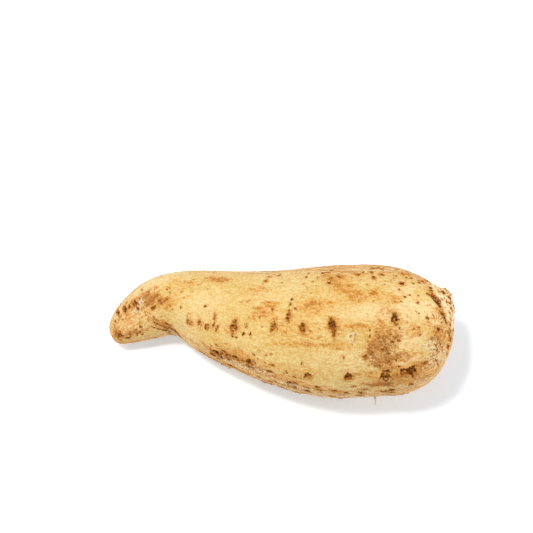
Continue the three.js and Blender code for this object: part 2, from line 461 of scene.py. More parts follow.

# %% The folds of the neck, and the creases between them, darkened as painted shade
NECK_FOLDS = [
    (84, 58, 70, 9, 1.5, 0.45), (81.5, 72, 70, 11, 1.6, 0.45), (84.6, 82, 72, 12, 1.5, 0.5),
    (87, 78, 76, 10, 1.3, 0.4), (82.4, 98, 72, 11, 1.4, 0.4), (85.4, 104, 76, 12, 1.5, 0.5),
    (80.4, 118, 76, 8, 1.2, 0.35), (83.4, 122, 78, 11, 1.4, 0.45), (86.2, 126, 78, 12, 1.4, 0.45),
    (84.2, 142, 80, 10, 1.4, 0.4), (87, 146, 82, 10, 1.3, 0.4), (82.8, 77, 71, 10, 0.8, -0.4),
    (78.6, 82, 57, 10, 1.5, -0.7), (86, 92, 74, 9, 0.9, -0.4), (83.9, 108, 75, 10, 1, -0.45),
    (84.8, 124, 78, 9, 0.9, -0.4), (82, 124, 77, 7, 0.8, -0.3), (85.6, 140, 80, 9, 0.9, -0.4),
]
HIDDEN_FOLDS = 30
FOLD_HEIGHTS = (-0.4, 0.45)
# The least and the most of x, turn, lean, length and width for a fold on the sides that lie hidden
HIDDEN_FOLD_RANGES = ((80, 87), (160, 400), (80, 100), (6, 13), (0.9, 1.6))
for number in range(HIDDEN_FOLDS):
    NECK_FOLDS.append((*(knife.uniform(*pair) for pair in HIDDEN_FOLD_RANGES), FOLD_HEIGHTS[number % 2]))
for *place_and_size, height in NECK_FOLDS:
    share = stroke(*place_and_size, height)
    # A fold's top is marked pale, a painted highlight, and a crease is stained dark, a painted shade
    if height > 0:
        stain("pale", share)
    else:
        stain("scar", -1.4 * height * share)
        stain("dark", 2.2 * height**2 * share)
print(f"{len(NECK_FOLDS)} folds and creases round the neck")

# %% The healed scar
HEALED_SCAR = (35.2, 117)  # x and turn
HEALED_LENGTH, HEALED_WIDTH, HEALED_HEIGHT = 3.6, 3.8, 0.45
along, across, out = from_spot(*HEALED_SCAR)
bearing = np.arctan2(across, along)
wobble = 1 + 0.16 * np.sin(2 * bearing + 1) + 0.12 * np.sin(3 * bearing) + 0.08 * np.sin(7 * bearing)
healed = oval((along, across, out), HEALED_LENGTH, HEALED_WIDTH, 4) * wobble
healed_lip = bell(healed, 0.85, 0.3)
carved += HEALED_HEIGHT * healed_lip
stain("pale", 1.2 * healed_lip)
stain("flaky", healed_lip)
stain("scar", 0.8 * fade(healed, 0.25, 0.7))
# A brown edge on the stem side only: a painted shadow of the raised lip
stain("scar", 0.8 * bell(healed, 1.3, 0.2) * fade(-along, 0, 1))
print(f"the healed scar covers {(healed[:body_count] < 1).sum()} points of the skin")

# %% [markdown]
# ## Stains
#
# Soil and bruises colour the skin in soft clouds: warm ochre round the scars, grey-brown where the skin has
# rubbed and gone corky, and a streaky weathered tan along the sides that lay in the soil and towards both ends. On
# the front side near the table, that tan also darkens the underside as painted shade.
# Only the place and the strength of each cloud are set here. Its ragged edge comes from noise in the finish, far
# finer than the mesh.

# %% Clouds of ochre
# x, turn, length, width, lean and strength, as in the lists after this one
OCHRE_CLOUDS = [
    (-9, 98, 14, 10, -15, 0.7), (-5, 90, 11, 4, 0, 0.7), (17.5, 91, 18, 10, 0, 0.75), (-32, 60, 15, 5, 20, 0.9),
    (39, 82, 13, 8, 0, 0.65), (32, 74, 14, 9, 0, 0.65), (27, 66, 10, 6, 0, 0.4), (36, 108, 16, 3, 0, 0.8),
    (8, 125, 28, 3.4, 0, 0.55), (27, 124, 18, 4, 0, 0.5), (34, 50, 12, 3, 0, 1), (-38, 165, 10, 4, 30, 0.8),
    (-62, 150, 13, 8, 30, 0.5), (-57, 112, 10, 7, 0, 0.6), (-50, 80, 13, 7, 0, 0.45), (-55, 75, 8, 6, 0, 0.4),
    (-44, 132, 10, 7, 0, 0.4), (73, 148, 12, 4, 0, 0.9), (58, 152, 20, 9, 0, 0.6), (43, 152, 16, 5, 0, 0.55),
    (66, 113, 9, 6, 0, 0.7), (-24, 122, 10, 9, 0, 0.35), (0, 106, 16, 10, 0, 0.3), (48, 79, 9, 6, 0, 0.8),
    (-10, 74, 20, 6, 0, 0.3), (80, 126, 10, 10, 0, 0.7), (56, 84, 14, 8, 0, 0.3), (-31, 146, 8, 5, 0, 0.4),
    (27, 107, 9, 8, 0, 0.6), (14, 114, 30, 14, 0, 0.25), (77, 68, 9, 8, 0, 0.65), (80.5, 86, 5, 4, 0, 0.7),
    (86.3, 68, 6, 18, 0, 1), (86.8, 48, 8, 12, 0, 0.8), (0, 152, 20, 5, 0, 0.35), (-78, 86, 14, 8, -30, 0.4),
    (79, 96, 9, 5, 0, 0.5), (28, 58, 22, 6, 0, 0.6), (55, 48, 24, 6, 0, 0.4), (20, 176, 26, 5, 0, 0.55),
    (-14, 162, 26, 10, 0, 0.3), (64, 140, 26, 14, 0, 0.2), (56, 160, 34, 10, 0, 0.4), (70, 160, 22, 12, 0, 0.35),
    (47, 108, 18, 10, 0, 0.4), (76, 110, 9, 12, 0, 0.35), (-61, 154, 14, 7, 46, 0.6), (-66, 128, 22, 12, 0, 0.15),
    (-20, 152, 26, 8, 0, 0.45), (5, 170, 40, 8, 0, 0.5),
]
print(f"{len(OCHRE_CLOUDS)} clouds of ochre")

# %% Clouds of brown, of flakes, of freckles and of pale skin
BROWN_CLOUDS = [
    (49.6, 117, 8, 9, 0, 0.6), (56.6, 115, 8, 9, 0, 0.8), (52, 122, 15, 9, 0, 0.85), (49.5, 130, 17, 14, 0, 1),
    (45.5, 135, 8, 6, 0, 0.9), (58.7, 136, 15, 6, 0, 0.85), (51, 142, 15, 6, 0, 0.95), (52.6, 95, 12, 8, 0, 0.35),
    (52, 166, 26, 5, 0, 1), (56, 162, 14, 4, 0, 0.6), (-67, 92, 14, 8, -35, 0.85), (-60, 108, 8, 4, 0, 0.45),
    (-74, 80, 12, 6, -30, 0.6), (-76, 144, 10, 5, 0, 0.85), (-85, 128, 7, 8, 0, 0.6), (-24, 166, 20, 8, 0, 0.8),
    (-28, 160, 16, 7, 0, 0.5), (-9, 168, 24, 8, 0, 0.65), (-14, 160, 36, 9, 0, 0.3), (-87, 96, 12, 18, 0, 0.3),
    (-61, 156, 13, 6, 46, 0.35), (78, 127, 9, 9, 0, 0.85), (83, 131, 8, 10, 0, 0.35), (-16.8, 89, 10, 2, 0, 0.8),
    (-20, 172, 24, 7, 0, 0.5), (28, 62, 12, 5, 0, 0.3), (-29, 62, 10, 4, 20, 0.5), (76, 68, 8, 4, 30, 0.45),
    (45, 186, 24, 4, 0, 0.6), (15, 186, 26, 4, 0, 0.55), (82, 100, 8, 6, 0, 0.3), (8, 158, 12, 5, 0, 0.4),
    (38, 78, 8, 5, 0, 0.35), (17, 124, 26, 2.4, 0, 0.35), (-70, 84, 10, 8, -35, 0.6), (-64, 98, 8, 6, 0, 0.6),
]
FLAKY_CLOUDS = [
    (-73, 88, 9, 5, -30, 0.8), (53, 128, 14, 12, 0, 0.35), (46, 137, 5, 5, 0, 0.5), (76, 131, 12, 9, 0, 0.7),
    (53, 160, 8, 3, 0, 0.7), (-22, 174, 30, 8, 0, 0.6), (-10, 166, 20, 6, 0, 0.6), (6, 178, 30, 5, 0, 0.7),
    (30, 190, 60, 8, 0, 0.7), (80, 152, 24, 12, 0, 0.55), (68, 172, 34, 8, 0, 0.5), (-76, 96, 10, 6, 0, 0.5),
    (78, 80, 8, 8, 0, 0.45), (50, 45, 40, 7, 0, 0.5),
]
FRECKLED_CLOUDS = [
    (66, 82, 34, 30, 0, 0.6), (74, 115, 20, 26, 0, 0.65), (54, 54, 50, 16, 0, 0.9), (-46, 75, 34, 16, 0, 0.5),
    (-10, 100, 40, 10, 0, 0.25), (-72, 110, 30, 20, 0, 0.7), (48, 120, 14, 20, 0, 0.8),
    (-20, 164, 34, 14, 0, 0.9), (72, 160, 30, 14, 0, 0.6), (40, 176, 60, 8, 0, 0.6), (20, 70, 30, 10, 0, 0.4),
    (10, 160, 30, 10, 0, 0.3),
]
# Pale clouds are paler skin; near the neck they are also a painted highlight
PALE_CLOUDS = [
    (83, 82, 13, 5, 72, 1), (82.5, 100, 9, 5, 74, 0.8), (86, 112, 12, 6, 78, 0.7), (80, 150, 20, 10, 0, 0.65),
    (70, 170, 30, 6, 0, 0.4), (75, 98, 12, 16, 0, 1), (62, 72, 16, 14, 0, 0.7), (46, 98, 26, 10, 0, 0.7),
    (66, 93, 18, 14, 0, 1), (36, 140, 40, 14, 0, 0.4), (64, 122, 18, 20, 0, 0.75), (66, 138, 18, 6, 0, 0.4),
    (-2, 75, 40, 14, 0, 0.3), (60, 142, 24, 4, -4, 0.6), (-40, 120, 30, 16, 0, 0.3), (-36, 92, 24, 14, 0, 0.3),
    (-80, 105, 18, 22, 0, 0.6), (-68, 122, 14, 12, 0, 0.5), (-70, 56, 40, 12, 20, 0.7),
    (-76, 112, 26, 14, 0, 0.8),
]
STAIN_CLOUDS = {
    "pale": PALE_CLOUDS, "ochre": OCHRE_CLOUDS, "brown": BROWN_CLOUDS, "flaky": FLAKY_CLOUDS,
    "freckled": FRECKLED_CLOUDS,
}
print("clouds:", {name: len(clouds) for name, clouds in STAIN_CLOUDS.items()})

# %% Lay the clouds on, and more by chance on the sides that lie hidden


def lay_cloud(name, x, turn, length, width, lean, strength):
    """Stains the skin with a soft oval cloud."""
    stain(name, strength * fade(oval(from_spot(x, turn, lean), length, width, length), 0.4, 1.35))


for name, clouds in STAIN_CLOUDS.items():
    for cloud in clouds:
        lay_cloud(name, *cloud)
HIDDEN_CLOUDS = 46
HIDDEN_STAINS = ("brown", "ochre", "flaky", "freckled")
for number in range(HIDDEN_CLOUDS):
    length = chance.uniform(8, 26)
    x, turn, narrowing, lean, strength = chance.uniform((-80, 190, 0.3, -15, 0.4), (80, 385, 0.6, 15, 0.9))
    lay_cloud(HIDDEN_STAINS[number % 4], x, turn, length, length * narrowing, lean, strength)
print(f"{sum(map(len, STAIN_CLOUDS.values()))} clouds placed by hand, {HIDDEN_CLOUDS} by chance")

# %% Weather along the sides and the ends


def band(middle_turn, half_width):
    """1 along a line that runs down the root at this turn, fading to 0 on both sides of it."""
    away = np.abs((np.degrees(points_turn) - middle_turn + 180) % 360 - 180)
    return fade(away, 0.2 * half_width, half_width)


x_mm = points[:, 0]
# The front band is weathered skin, and also painted shade on the underside that faces the table
stain("weather", 0.9 * band(197, 36))  # the front side, near the table
stain("weather", 0.9 * band(25, 38) * fade(-x_mm, -30, 10))  # the back of the thick end
stain("weather", 0.4 * band(20, 40))  # the back, all along
stain("weather", 0.6 * band(270, 90))  # the belly
stain("weather", 0.8 * fade(x_mm, -86, -58) * (1 - 0.75 * band(52, 40)))  # the tail, less on its outer side
# The dry skin round the stem starts at this x at these turns: further from the stem on the sides than on top
STEM_DRY_TURNS = (0, 40, 72, 100, 130, 160, 360)
STEM_DRY_FROM = (56, 62, 80, 80, 76, 62, 56)
dry_from = np.interp(np.degrees(points_turn) % 360, STEM_DRY_TURNS, STEM_DRY_FROM)
stain("weather", 0.9 * fade(dry_from - x_mm, -6, 4))
for name in ("ochre", "brown", "weather", "scar"):
    print(f"{name}: {100 * marks[name][:body_count].mean():.0f}% of the skin on average")

# %% [markdown]
# ## The torn stem
#
# The root was pulled off its vine, not cut, so the neck ends in a ragged rim round a rough face of broken fibres.
# The rim is torn back by a few waves of different lengths, further at the back than at the front. The face is
# dished, with a corky bundle left standing in the middle. The skin behind the rim is wrinkled in rings.

# %% Tear the rim and dish the face
stem_axis = unit(np.cross(rim[SIDES // 4] - torn_middle, rim[0] - torn_middle))
stem_axis *= np.sign(stem_axis[0])
TEAR_WAVES = (2, 5, 9, 14, 23, 41)  # how many teeth round the rim, from broad to fine
TEAR_DEPTH = 0.55
TEAR_RINGS = 9  # how far the tear pulls the skin behind the rim
TEAR_SLANT, SLANT_TURN = 0.3, 50  # how much further the rim is torn on one side, and the turn of that side
DISH_DEPTH, BUNDLE_HEIGHT, BUNDLE_WIDTH = 1.6, 1.2, 0.3
bearing = np.arange(SIDES) / SIDES * 2 * np.pi
teeth = sum(np.sin(waves * bearing + chance.uniform(0, 6.3)) / waves**0.6 for waves in TEAR_WAVES)
teeth -= teeth.max()
slant = -TEAR_SLANT * (0.5 + 0.5 * np.cos(bearing - math.radians(SLANT_TURN)))
ring_number = np.arange(rings)[:, None] * np.ones(SIDES)
on_face = ring_number >= SKIN_RINGS
face_share = np.clip(np.linalg.norm(shape - torn_middle, axis=-1) / girth[SKIN_RINGS - 1], 0, 1)
near_rim = fade(np.abs(ring_number - SKIN_RINGS + 1), 0, TEAR_RINGS)
torn_back = np.where(on_face, face_share, near_rim) * (TEAR_DEPTH * teeth + slant)
dish = on_face * (BUNDLE_HEIGHT * bell(face_share, 0, BUNDLE_WIDTH) - DISH_DEPTH * (1 - face_share**2))
shape = shape + stem_axis * (torn_back + dish)[..., None]
torn_middle = shape[-1].mean(axis=0)
points[:body_count] = shape.reshape(-1, 3)
points[body_count + 1] = torn_middle
print(f"teeth up to {-TEAR_DEPTH * teeth.min():.1f} mm deep, in a face dished by {-dish.min():.1f} mm")

# %% Mark the torn face and the neck
TORN_RINGS = 4  # how far the torn look goes back from the rim
NECK_FULL, NECK_NONE = 16, 25  # the neck's folded skin, in millimetres from the middle of the rim
marks["torn"][:body_count] = np.maximum(on_face, fade(SKIN_RINGS - ring_number, 0, TORN_RINGS)).ravel()
marks["torn"][body_count + 1] = 1
marks["neck"] = fade(np.linalg.norm(points - rim.mean(axis=0), axis=-1), NECK_FULL, NECK_NONE)
print(f"the rim is torn {np.ptp(torn_back[SKIN_RINGS - 1]):.1f} mm deep")

# %% [markdown]
# ## From arrays to meshes
#
# The grid becomes quads, with a fan of triangles at the tail's tip and at the middle of the torn face. The marks
# and the carving go in as attributes. So does a place for each point on an imaginary straight root, where lines
# that run along the real one are straight, so the fibres of the skin can follow the bend. The map unrolls the
# skin like a label off a bottle, with one seam down the back. The plates' map sets them out in rows, like stamps
# on a sheet.

# %% Where each point is on the straight root
ring_step = travelled[-1] / SKIN_RINGS
distance_of = np.concatenate([(np.arange(1, rings + 1)[:, None] * ring_step * np.ones(SIDES)).ravel(),
                              [0, (rings + 1) * ring_step], *(distance.ravel() for distance in plate_distance)])
straight_radius = np.sqrt(np.interp(distance_of, np.arange(1, rings + 1) * ring_step, girth) * girth.max())
grown = np.stack([distance_of, straight_radius * np.cos(points_turn), straight_radius * np.sin(points_turn)], -1)
print(f"the straight root is {travelled[-1]:.0f} mm long")

# %% Build a mesh from the records
MAP_EDGE = 0.002


def build(name, chosen, faces, corners):
    """A smooth mesh with its map and its attributes, from some of the recorded points."""
    mesh = bpy.data.meshes.new(name)
    mesh.from_pydata((points[chosen] * MM).tolist(), [], faces)
    flat = (MAP_EDGE + (1 - 2 * MAP_EDGE) * corners).astype(np.float32).ravel()
    mesh.uv_layers.new(name="OFBake").data.foreach_set("uv", flat)
    for label, values in (*marks.items(), ("carved", carved * MM)):
        data = mesh.attributes.new(label, "FLOAT", "POINT").data
        data.foreach_set("value", values[chosen].astype(np.float32))
    data = mesh.attributes.new("grown", "FLOAT_VECTOR", "POINT").data
    data.foreach_set("vector", (grown[chosen] * MM).astype(np.float32).ravel())
    mesh.shade_smooth()
    print(f"{name}: {len(mesh.polygons)} faces, {len(mesh.attributes)} attributes")
    return mesh


# %% The whole skin
ring, side = (n.ravel() for n in np.meshgrid(np.arange(rings - 1), np.arange(SIDES), indexing="ij"))
after = (side + 1) % SIDES
skin_faces = np.stack([ring * SIDES + side, ring * SIDES + after, (ring + 1) * SIDES + after,
                       (ring + 1) * SIDES + side], axis=-1).tolist()
skin_map = [np.stack([np.stack([side, side + 1, side + 1, side], -1) / SIDES,
                      (np.stack([ring, ring, ring + 1, ring + 1], -1) + 1) / (rings + 1)], -1).reshape(-1, 2)]
sides = np.arange(SIDES)
for end, start, order in ((body_count, 0, (1, 0)), (body_count + 1, (rings - 1) * SIDES, (0, 1))):
    skin_faces += np.stack([np.full(SIDES, end), *(start + (sides + step) % SIDES for step in order)], -1).tolist()
    across_map = np.stack([sides + 0.5, *(sides + step for step in order)], -1) / SIDES
    along_map = abs((end - body_count) - np.array([0, 1, 1]) / (rings + 1)) * np.ones((SIDES, 3))
    skin_map.append(np.stack([across_map, along_map], -1).reshape(-1, 2))
skin_mesh = build("skin_mesh", np.arange(body_count + 2), skin_faces, np.concatenate(skin_map))

# %% The plates
STAMPS_TO_A_ROW = math.ceil(math.sqrt(len(plates)))
STAMP_EDGE = 0.01
plate_faces, plate_map, first = [], [], 0
for number, (long_cells, cross_cells) in enumerate(plate_cells):
    u, v = (n.ravel() for n in np.meshgrid(np.arange(long_cells), np.arange(cross_cells), indexing="ij"))
    steps = ((0, 0), (0, 1), (1, 1), (1, 0))
    plate_faces += np.stack([first + (u + du) * (cross_cells + 1) + v + dv for du, dv in steps], -1).tolist()
    stamp = np.stack([np.stack([(u + du) / long_cells, (v + dv) / cross_cells], -1) for du, dv in steps], -2)
    place = np.array([number % STAMPS_TO_A_ROW, number // STAMPS_TO_A_ROW])
    plate_map.append(((place + STAMP_EDGE + (1 - 2 * STAMP_EDGE) * stamp) / STAMPS_TO_A_ROW).reshape(-1, 2))
    first += (long_cells + 1) * (cross_cells + 1)
plate_mesh = build("plate_mesh", np.arange(body_count + 2, len(points)), plate_faces, np.concatenate(plate_map))

# %% [markdown]
# ## Nodes, written short
#
# Every tree below is built with the same few helpers. One sets or links an input, one adds a node, and the others
# wrap the nodes that come up most: a sum, a product, a remapped range, a noise, a coat of colour.

# %% Helpers for node trees


def feed(tree, socket, value):
    """Sets a node's input, or links it to another node's output."""
    if isinstance(value, bpy.types.NodeSocket):
        tree.links.new(value, socket)
    else:
        socket.default_value = value


def add(tree, kind, inputs=None, **settings):
    """Adds a node with its settings and its inputs, and returns it."""
    made = tree.nodes.new(kind)
    for name, value in settings.items():
        setattr(made, name, value)
    for name, value in (inputs or {}).items():
        feed(tree, made.inputs[name], value)
    return made


def calc(tree, operation, *values):
    """A number worked out from others."""
    return add(tree, "ShaderNodeMath", dict(enumerate(values)), operation=operation).outputs[0]


def times(tree, first, *others):
    """The product of some numbers."""
    for other in others:
        first = calc(tree, "MULTIPLY", first, other)
    return first


def vector(tree, operation, first, second=None, scale=None):
    """A vector worked out from others."""
    inputs = {0: first}
    if second is not None:
        inputs[1] = second
    if scale is not None:
        inputs["Scale"] = scale
    return add(tree, "ShaderNodeVectorMath", inputs, operation=operation).outputs[0]


def remap(tree, value, low_from, high_from, low_to=0.0, high_to=1.0):
    """A value carried smoothly from one range to another, and held at its ends."""
    inputs = {0: value, 1: low_from, 2: high_from, 3: low_to, 4: high_to}
    return add(tree, "ShaderNodeMapRange", inputs, interpolation_type="SMOOTHSTEP").outputs[0]


# %% Helpers for noise, and for a new tree


def noise(tree, place, size, detail=2.0, seed=0.0, roughness=0.5):
    """Soft noise from 0 to 1, with lumps of about this size in metres."""
    inputs = {"Vector": place, "W": seed, "Detail": detail, "Roughness": roughness,
              "Scale": calc(tree, "DIVIDE", 1.0, size) if isinstance(size, bpy.types.NodeSocket) else 1 / size}
    return add(tree, "ShaderNodeTexNoise", inputs, noise_dimensions="4D").outputs[0]


def stretched(tree, place, along, across):
    """Coordinates for a noise of size 1 whose lumps are this long along the root and this wide across it."""
    long, wide = (calc(tree, "DIVIDE", 1.0, size) for size in (along, across))
    return vector(tree, "MULTIPLY", place, add(tree, "ShaderNodeCombineXYZ", {0: long, 1: wide, 2: wide}).outputs[0])


def new_tree(name, kind, inputs, outputs):
    """An empty tree with named inputs and outputs, and the sockets of its two end nodes."""
    tree = bpy.data.node_groups.new(name, kind)
    for direction, sockets in (("INPUT", inputs), ("OUTPUT", outputs)):
        for label, (socket_kind, start) in sockets.items():
            socket = tree.interface.new_socket(label, in_out=direction, socket_type="NodeSocket" + socket_kind)
            if start is not None:
                socket.default_value = start
    return tree, tree.nodes.new("NodeGroupInput").outputs, tree.nodes.new("NodeGroupOutput").inputs


# %% Helpers for Geometry Nodes


def named(tree, name, kind="FLOAT"):
    """An attribute that rides on the mesh."""
    return add(tree, "GeometryNodeInputNamedAttribute", {"Name": name}, data_type=kind).outputs[0]


def moved_by(tree, geometry, offset):
    """A geometry with its points moved."""
    return add(tree, "GeometryNodeSetPosition", {"Geometry": geometry, "Offset": offset}).outputs[0]


def kept_above(tree, geometry, table):
    """A geometry whose points don't go below the table's height."""
    place = add(tree, "GeometryNodeInputPosition").outputs[0]
    x, y, z = add(tree, "ShaderNodeSeparateXYZ", {0: place}).outputs
    above = add(tree, "ShaderNodeCombineXYZ", {0: x, 1: y, 2: calc(tree, "MAXIMUM", z, table)}).outputs[0]
    return add(tree, "GeometryNodeSetPosition", {"Geometry": geometry, "Position": above}).outputs[0]


def with_finish(tree, geometry, finish):
    """Real geometry in a material."""
    whole = add(tree, "GeometryNodeRealizeInstances", {0: geometry}).outputs[0]
    return add(tree, "GeometryNodeSetMaterial", {"Geometry": whole, "Material": finish}).outputs[0]


def grow(name, source, tree, **values):
    """Runs a Geometry Nodes tree on a mesh with these inputs, and returns the result as a plain object."""
    carrier = bpy.data.objects.new(name, source)
    bpy.context.scene.collection.objects.link(carrier)
    modifier = carrier.modifiers.new(tree.name, "NODES")
    modifier.node_group = tree
    inputs = {socket.name: socket.identifier for socket in tree.interface.items_tree if socket.in_out == "INPUT"}
    for label, value in values.items():
        modifier[inputs[label.replace("_", " ")]] = value
    depsgraph = bpy.context.evaluated_depsgraph_get()
    result = bpy.data.meshes.new_from_object(carrier.evaluated_get(depsgraph), depsgraph=depsgraph)
    carrier.modifiers.remove(modifier)
    carrier.data = result
    result.name = name
    triangles = sum(len(face.vertices) - 2 for face in result.polygons)
    print(f"{name}: {triangles} triangles")
    return carrier


# %% [markdown]
# ## Shared patterns
#
# Four patterns turn up in more than one finish or coat, so each is a node group with named inputs. Grain lines
# are the fine lines that run along a fibre or the root. A soaked stain turns a soft mark into three broken coats,
# a wash, a stain and a core, the way dirt soaks into skin. Specks are small round spots of many sizes, each in a
# soft halo. Dry scales are the thin skin that lifts where the root has weathered: each scale has a pale edge, a
# painted highlight, and a dark gap beside it, a painted shade.

# %% Grain lines and soaked stains
SHADER = "ShaderNodeTree"


def grain_lines_group():
    """Lines that run along the straight root: a noise that is stretched lengthwise."""
    tree, given, out = new_tree(
        "grain_lines", SHADER,
        {"Vector": ("Vector", None), "Line Length": ("Float", 0.012), "Line Width": ("Float", 0.0008),
         "Seed": ("Float", 0.0)},
        {"Lines": ("Float", None)},
    )
    place = stretched(tree, given["Vector"], given["Line Length"], given["Line Width"])
    feed(tree, out["Lines"], remap(tree, noise(tree, place, 1.0, 3.0, given["Seed"], 0.6), 0.35, 0.65))
    return tree


def soaked_stain_group():
    """Three broken coats of a stain, each one deeper in the mark. Break says how much the noise breaks them."""
    tree, given, out = new_tree(
        "soaked_stain", SHADER,
        {"Mark": ("Float", 0.0), "Vector": ("Vector", None), "Size": ("Float", 1.0), "Break": ("Float", 4.0),
         "Grit": ("Float", 0.5), "Seed": ("Float", 0.0)},
        {"Wash": ("Float", None), "Stain": ("Float", None), "Core": ("Float", None)},
    )
    broken = noise(tree, given["Vector"], given["Size"], 4.0, given["Seed"], 0.6)
    depth = calc(tree, "MULTIPLY_ADD", calc(tree, "SUBTRACT", broken, 0.5), given["Break"], given["Mark"])
    depth = calc(tree, "MULTIPLY_ADD", calc(tree, "SUBTRACT", given["Grit"], 0.5), 0.6, depth)
    present = remap(tree, given["Mark"], 0.0, 0.12)
    for name, start, full in (("Wash", 0.1, 0.7), ("Stain", 0.5, 0.85), ("Core", 0.9, 1.2)):
        feed(tree, out[name], times(tree, present, remap(tree, depth, start, full)))
    return tree


# %% Specks and dry scales


def specks_group():
    """Round spots of many sizes, and their halos. Cover says how many of the cells hold one, from 0 to 1."""
    tree, given, out = new_tree(
        "specks", SHADER,
        {"Vector": ("Vector", None), "Cell": ("Float", 0.002), "Cover": ("Float", 0.2), "Smallest": ("Float", 0.14),
         "Largest": ("Float", 0.36), "Seed": ("Float", 0.0)},
        {"Specks": ("Float", None), "Halos": ("Float", None)},
    )
    place = vector(tree, "SCALE", given["Vector"], scale=calc(tree, "DIVIDE", 1.0, given["Cell"]))
    shift = add(tree, "ShaderNodeCombineXYZ", dict.fromkeys(range(3), given["Seed"])).outputs[0]
    place = vector(tree, "ADD", place, shift)
    warp = add(tree, "ShaderNodeTexNoise", {"Vector": place, "Scale": 1.6, "Detail": 2.0}).outputs[1]
    warped = vector(tree, "ADD", place, vector(tree, "SUBTRACT", warp, (0.5, 0.5, 0.5)))
    cells = add(tree, "ShaderNodeTexVoronoi", {"Vector": warped, "Scale": 1.0})
    draw = add(tree, "ShaderNodeSeparateColor", {0: cells.outputs["Color"]}).outputs
    kept = calc(tree, "LESS_THAN", draw[0], given["Cover"])
    radius = add(tree, "ShaderNodeMapRange", {0: draw[1], 3: given["Smallest"], 4: given["Largest"]}).outputs[0]
    for name, wide in (("Specks", 1.0), ("Halos", 2.4)):
        spot_size = times(tree, radius, wide)
        spots = remap(tree, cells.outputs["Distance"], spot_size, times(tree, spot_size, 0.4))
        feed(tree, out[name], times(tree, spots, kept))
    return tree


def dry_scales_group():
    """Thin lifted scales, their edges a painted highlight and their gaps a painted shade. Overlap is the way that
    each one's edge faces, and how far it lies over the next.
    """
    tree, given, out = new_tree(
        "dry_scales", SHADER,
        {"Vector": ("Vector", None), "Overlap": ("Vector", None), "Length": ("Float", 0.003),
         "Width": ("Float", 0.0009), "Seed": ("Float", 0.0)},
        {"Edges": ("Float", None), "Shaded Gaps": ("Float", None), "Height": ("Float", None)},
    )
    beyond = vector(tree, "ADD", given["Vector"], given["Overlap"])
    here, there = (noise(tree, stretched(tree, where, given["Length"], given["Width"]), 1.0, 3.0, given["Seed"], 0.6)
                   for where in (given["Vector"], beyond))
    slope = calc(tree, "SUBTRACT", there, here)
    feed(tree, out["Edges"], remap(tree, slope, 0.0, 0.07))
    feed(tree, out["Shaded Gaps"], remap(tree, slope, -0.01, -0.08))
    feed(tree, out["Height"], here)
    return tree


GRAIN_LINES, SOAKED_STAIN = grain_lines_group(), soaked_stain_group()
SPECKS, DRY_SCALES = specks_group(), dry_scales_group()
print("shared patterns:", [group.name for group in (GRAIN_LINES, SOAKED_STAIN, SPECKS, DRY_SCALES)])

# %% Place a shared pattern


def place_group(tree, group, **inputs):
    """Places a shared pattern in a material, with its inputs by name, and returns its outputs."""
    made = tree.nodes.new("ShaderNodeGroup")
    made.node_tree = group
    for label, value in inputs.items():
        feed(tree, made.inputs[label.replace("_", " ")], value)
    return made.outputs


def blend(tree, first, second, share):
    """A number that goes from the first to the second with the share."""
    return add(tree, "ShaderNodeMix", {0: share, 2: first, 3: second}, data_type="FLOAT").outputs[0]


# %% [markdown]
# ## Colours
#
# They are given as a colour picker shows them, from 0 to 255, and turned into the amounts of light that Blender
# uses.

# %% The colours of the root


def tone(red, green, blue):
    """A colour as a picker shows it, as amounts of light."""
    light = [c / 255 / 12.92 if c < 11 else ((c / 255 + 0.055) / 1.055) ** 2.4 for c in (red, green, blue)]
    return (*light, 1.0)


BUTTER = tone(210, 180, 107)
CREAM = tone(218, 192, 124)
HONEY = tone(212, 162, 82)
PEACH = tone(228, 178, 108)
TAN = tone(206, 146, 76)
PALE = tone(246, 224, 178)
STRAW = tone(244, 212, 150)
OCHRE = tone(216, 152, 60)
AMBER = tone(194, 120, 34)
RUST = tone(150, 78, 14)
UMBER = tone(180, 116, 50)
SEPIA = tone(124, 72, 28)
BARK = tone(78, 34, 6)
PITCH = tone(44, 18, 4)
CORK = tone(206, 156, 92)
FIBRE = tone(240, 174, 92)
FIBRE_TIP = tone(150, 86, 34)
print("butter, in amounts of light:", [round(part, 2) for part in BUTTER[:3]])

# %% [markdown]
# ## The skin's finish
#
# The skin is laid in coats, from the flesh outwards: two yellows that drift into each other, fine streaks along
# the root, tan weathered skin with its dry scales, whose pale edges are a painted highlight and dark gaps a painted
# shade, ochre and brown stains, the cream folds of the neck, pale on top as a painted highlight, freckles and nicks
# with a painted highlight on a lip beside each, pale flakes, the scars, and last the torn stem. Each coat has its
# own mask with an edge broken by noise. The grooves of the relief are darkened as well, a painted shade that also
# stands for soil in them.

# %% Helpers for finishes


def mark(tree, name, kind="Fac"):
    """A record that rides on the skin."""
    return add(tree, "ShaderNodeAttribute", attribute_name=name).outputs[kind]


def lay(tree, colour, share, strength, over):
    """A coat of one colour over another, where its share is high."""
    share = times(tree, share, strength)
    return add(tree, "ShaderNodeMix", {0: share, 6: colour, 7: over}, data_type="RGBA").outputs[2]


def paint(tree, colour, *coats):
    """Lays coats one over another. Each is its colour, where it goes and how strong it is."""
    for coat, share, strength in coats:
        colour = lay(tree, colour, share, strength, coat)
    return colour


def new_finish(name):
    """A new material with its shader and its Object coordinates."""
    material = bpy.data.materials.new(name)
    material.use_nodes = True
    tree = material.node_tree
    tree.nodes.clear()
    shader = add(tree, "ShaderNodeBsdfPrincipled", {"IOR": 1.45})
    tree.links.new(shader.outputs[0], add(tree, "ShaderNodeOutputMaterial").inputs["Surface"])
    return material, tree, shader, add(tree, "ShaderNodeTexCoord").outputs["Object"]


def complete(tree, shader, colour, roughness, height=None, depth=0.0):
    """Feeds the shader its colour and its roughness, and a height from 0 to 1 as relief this many metres deep."""
    feed(tree, shader.inputs["Base Color"], colour)
    feed(tree, shader.inputs["Roughness"], roughness)
    if height is not None:
        bump = add(tree, "ShaderNodeBump", {"Height": height, "Distance": depth, "Strength": 1.0})
        feed(tree, shader.inputs["Normal"], bump.outputs[0])


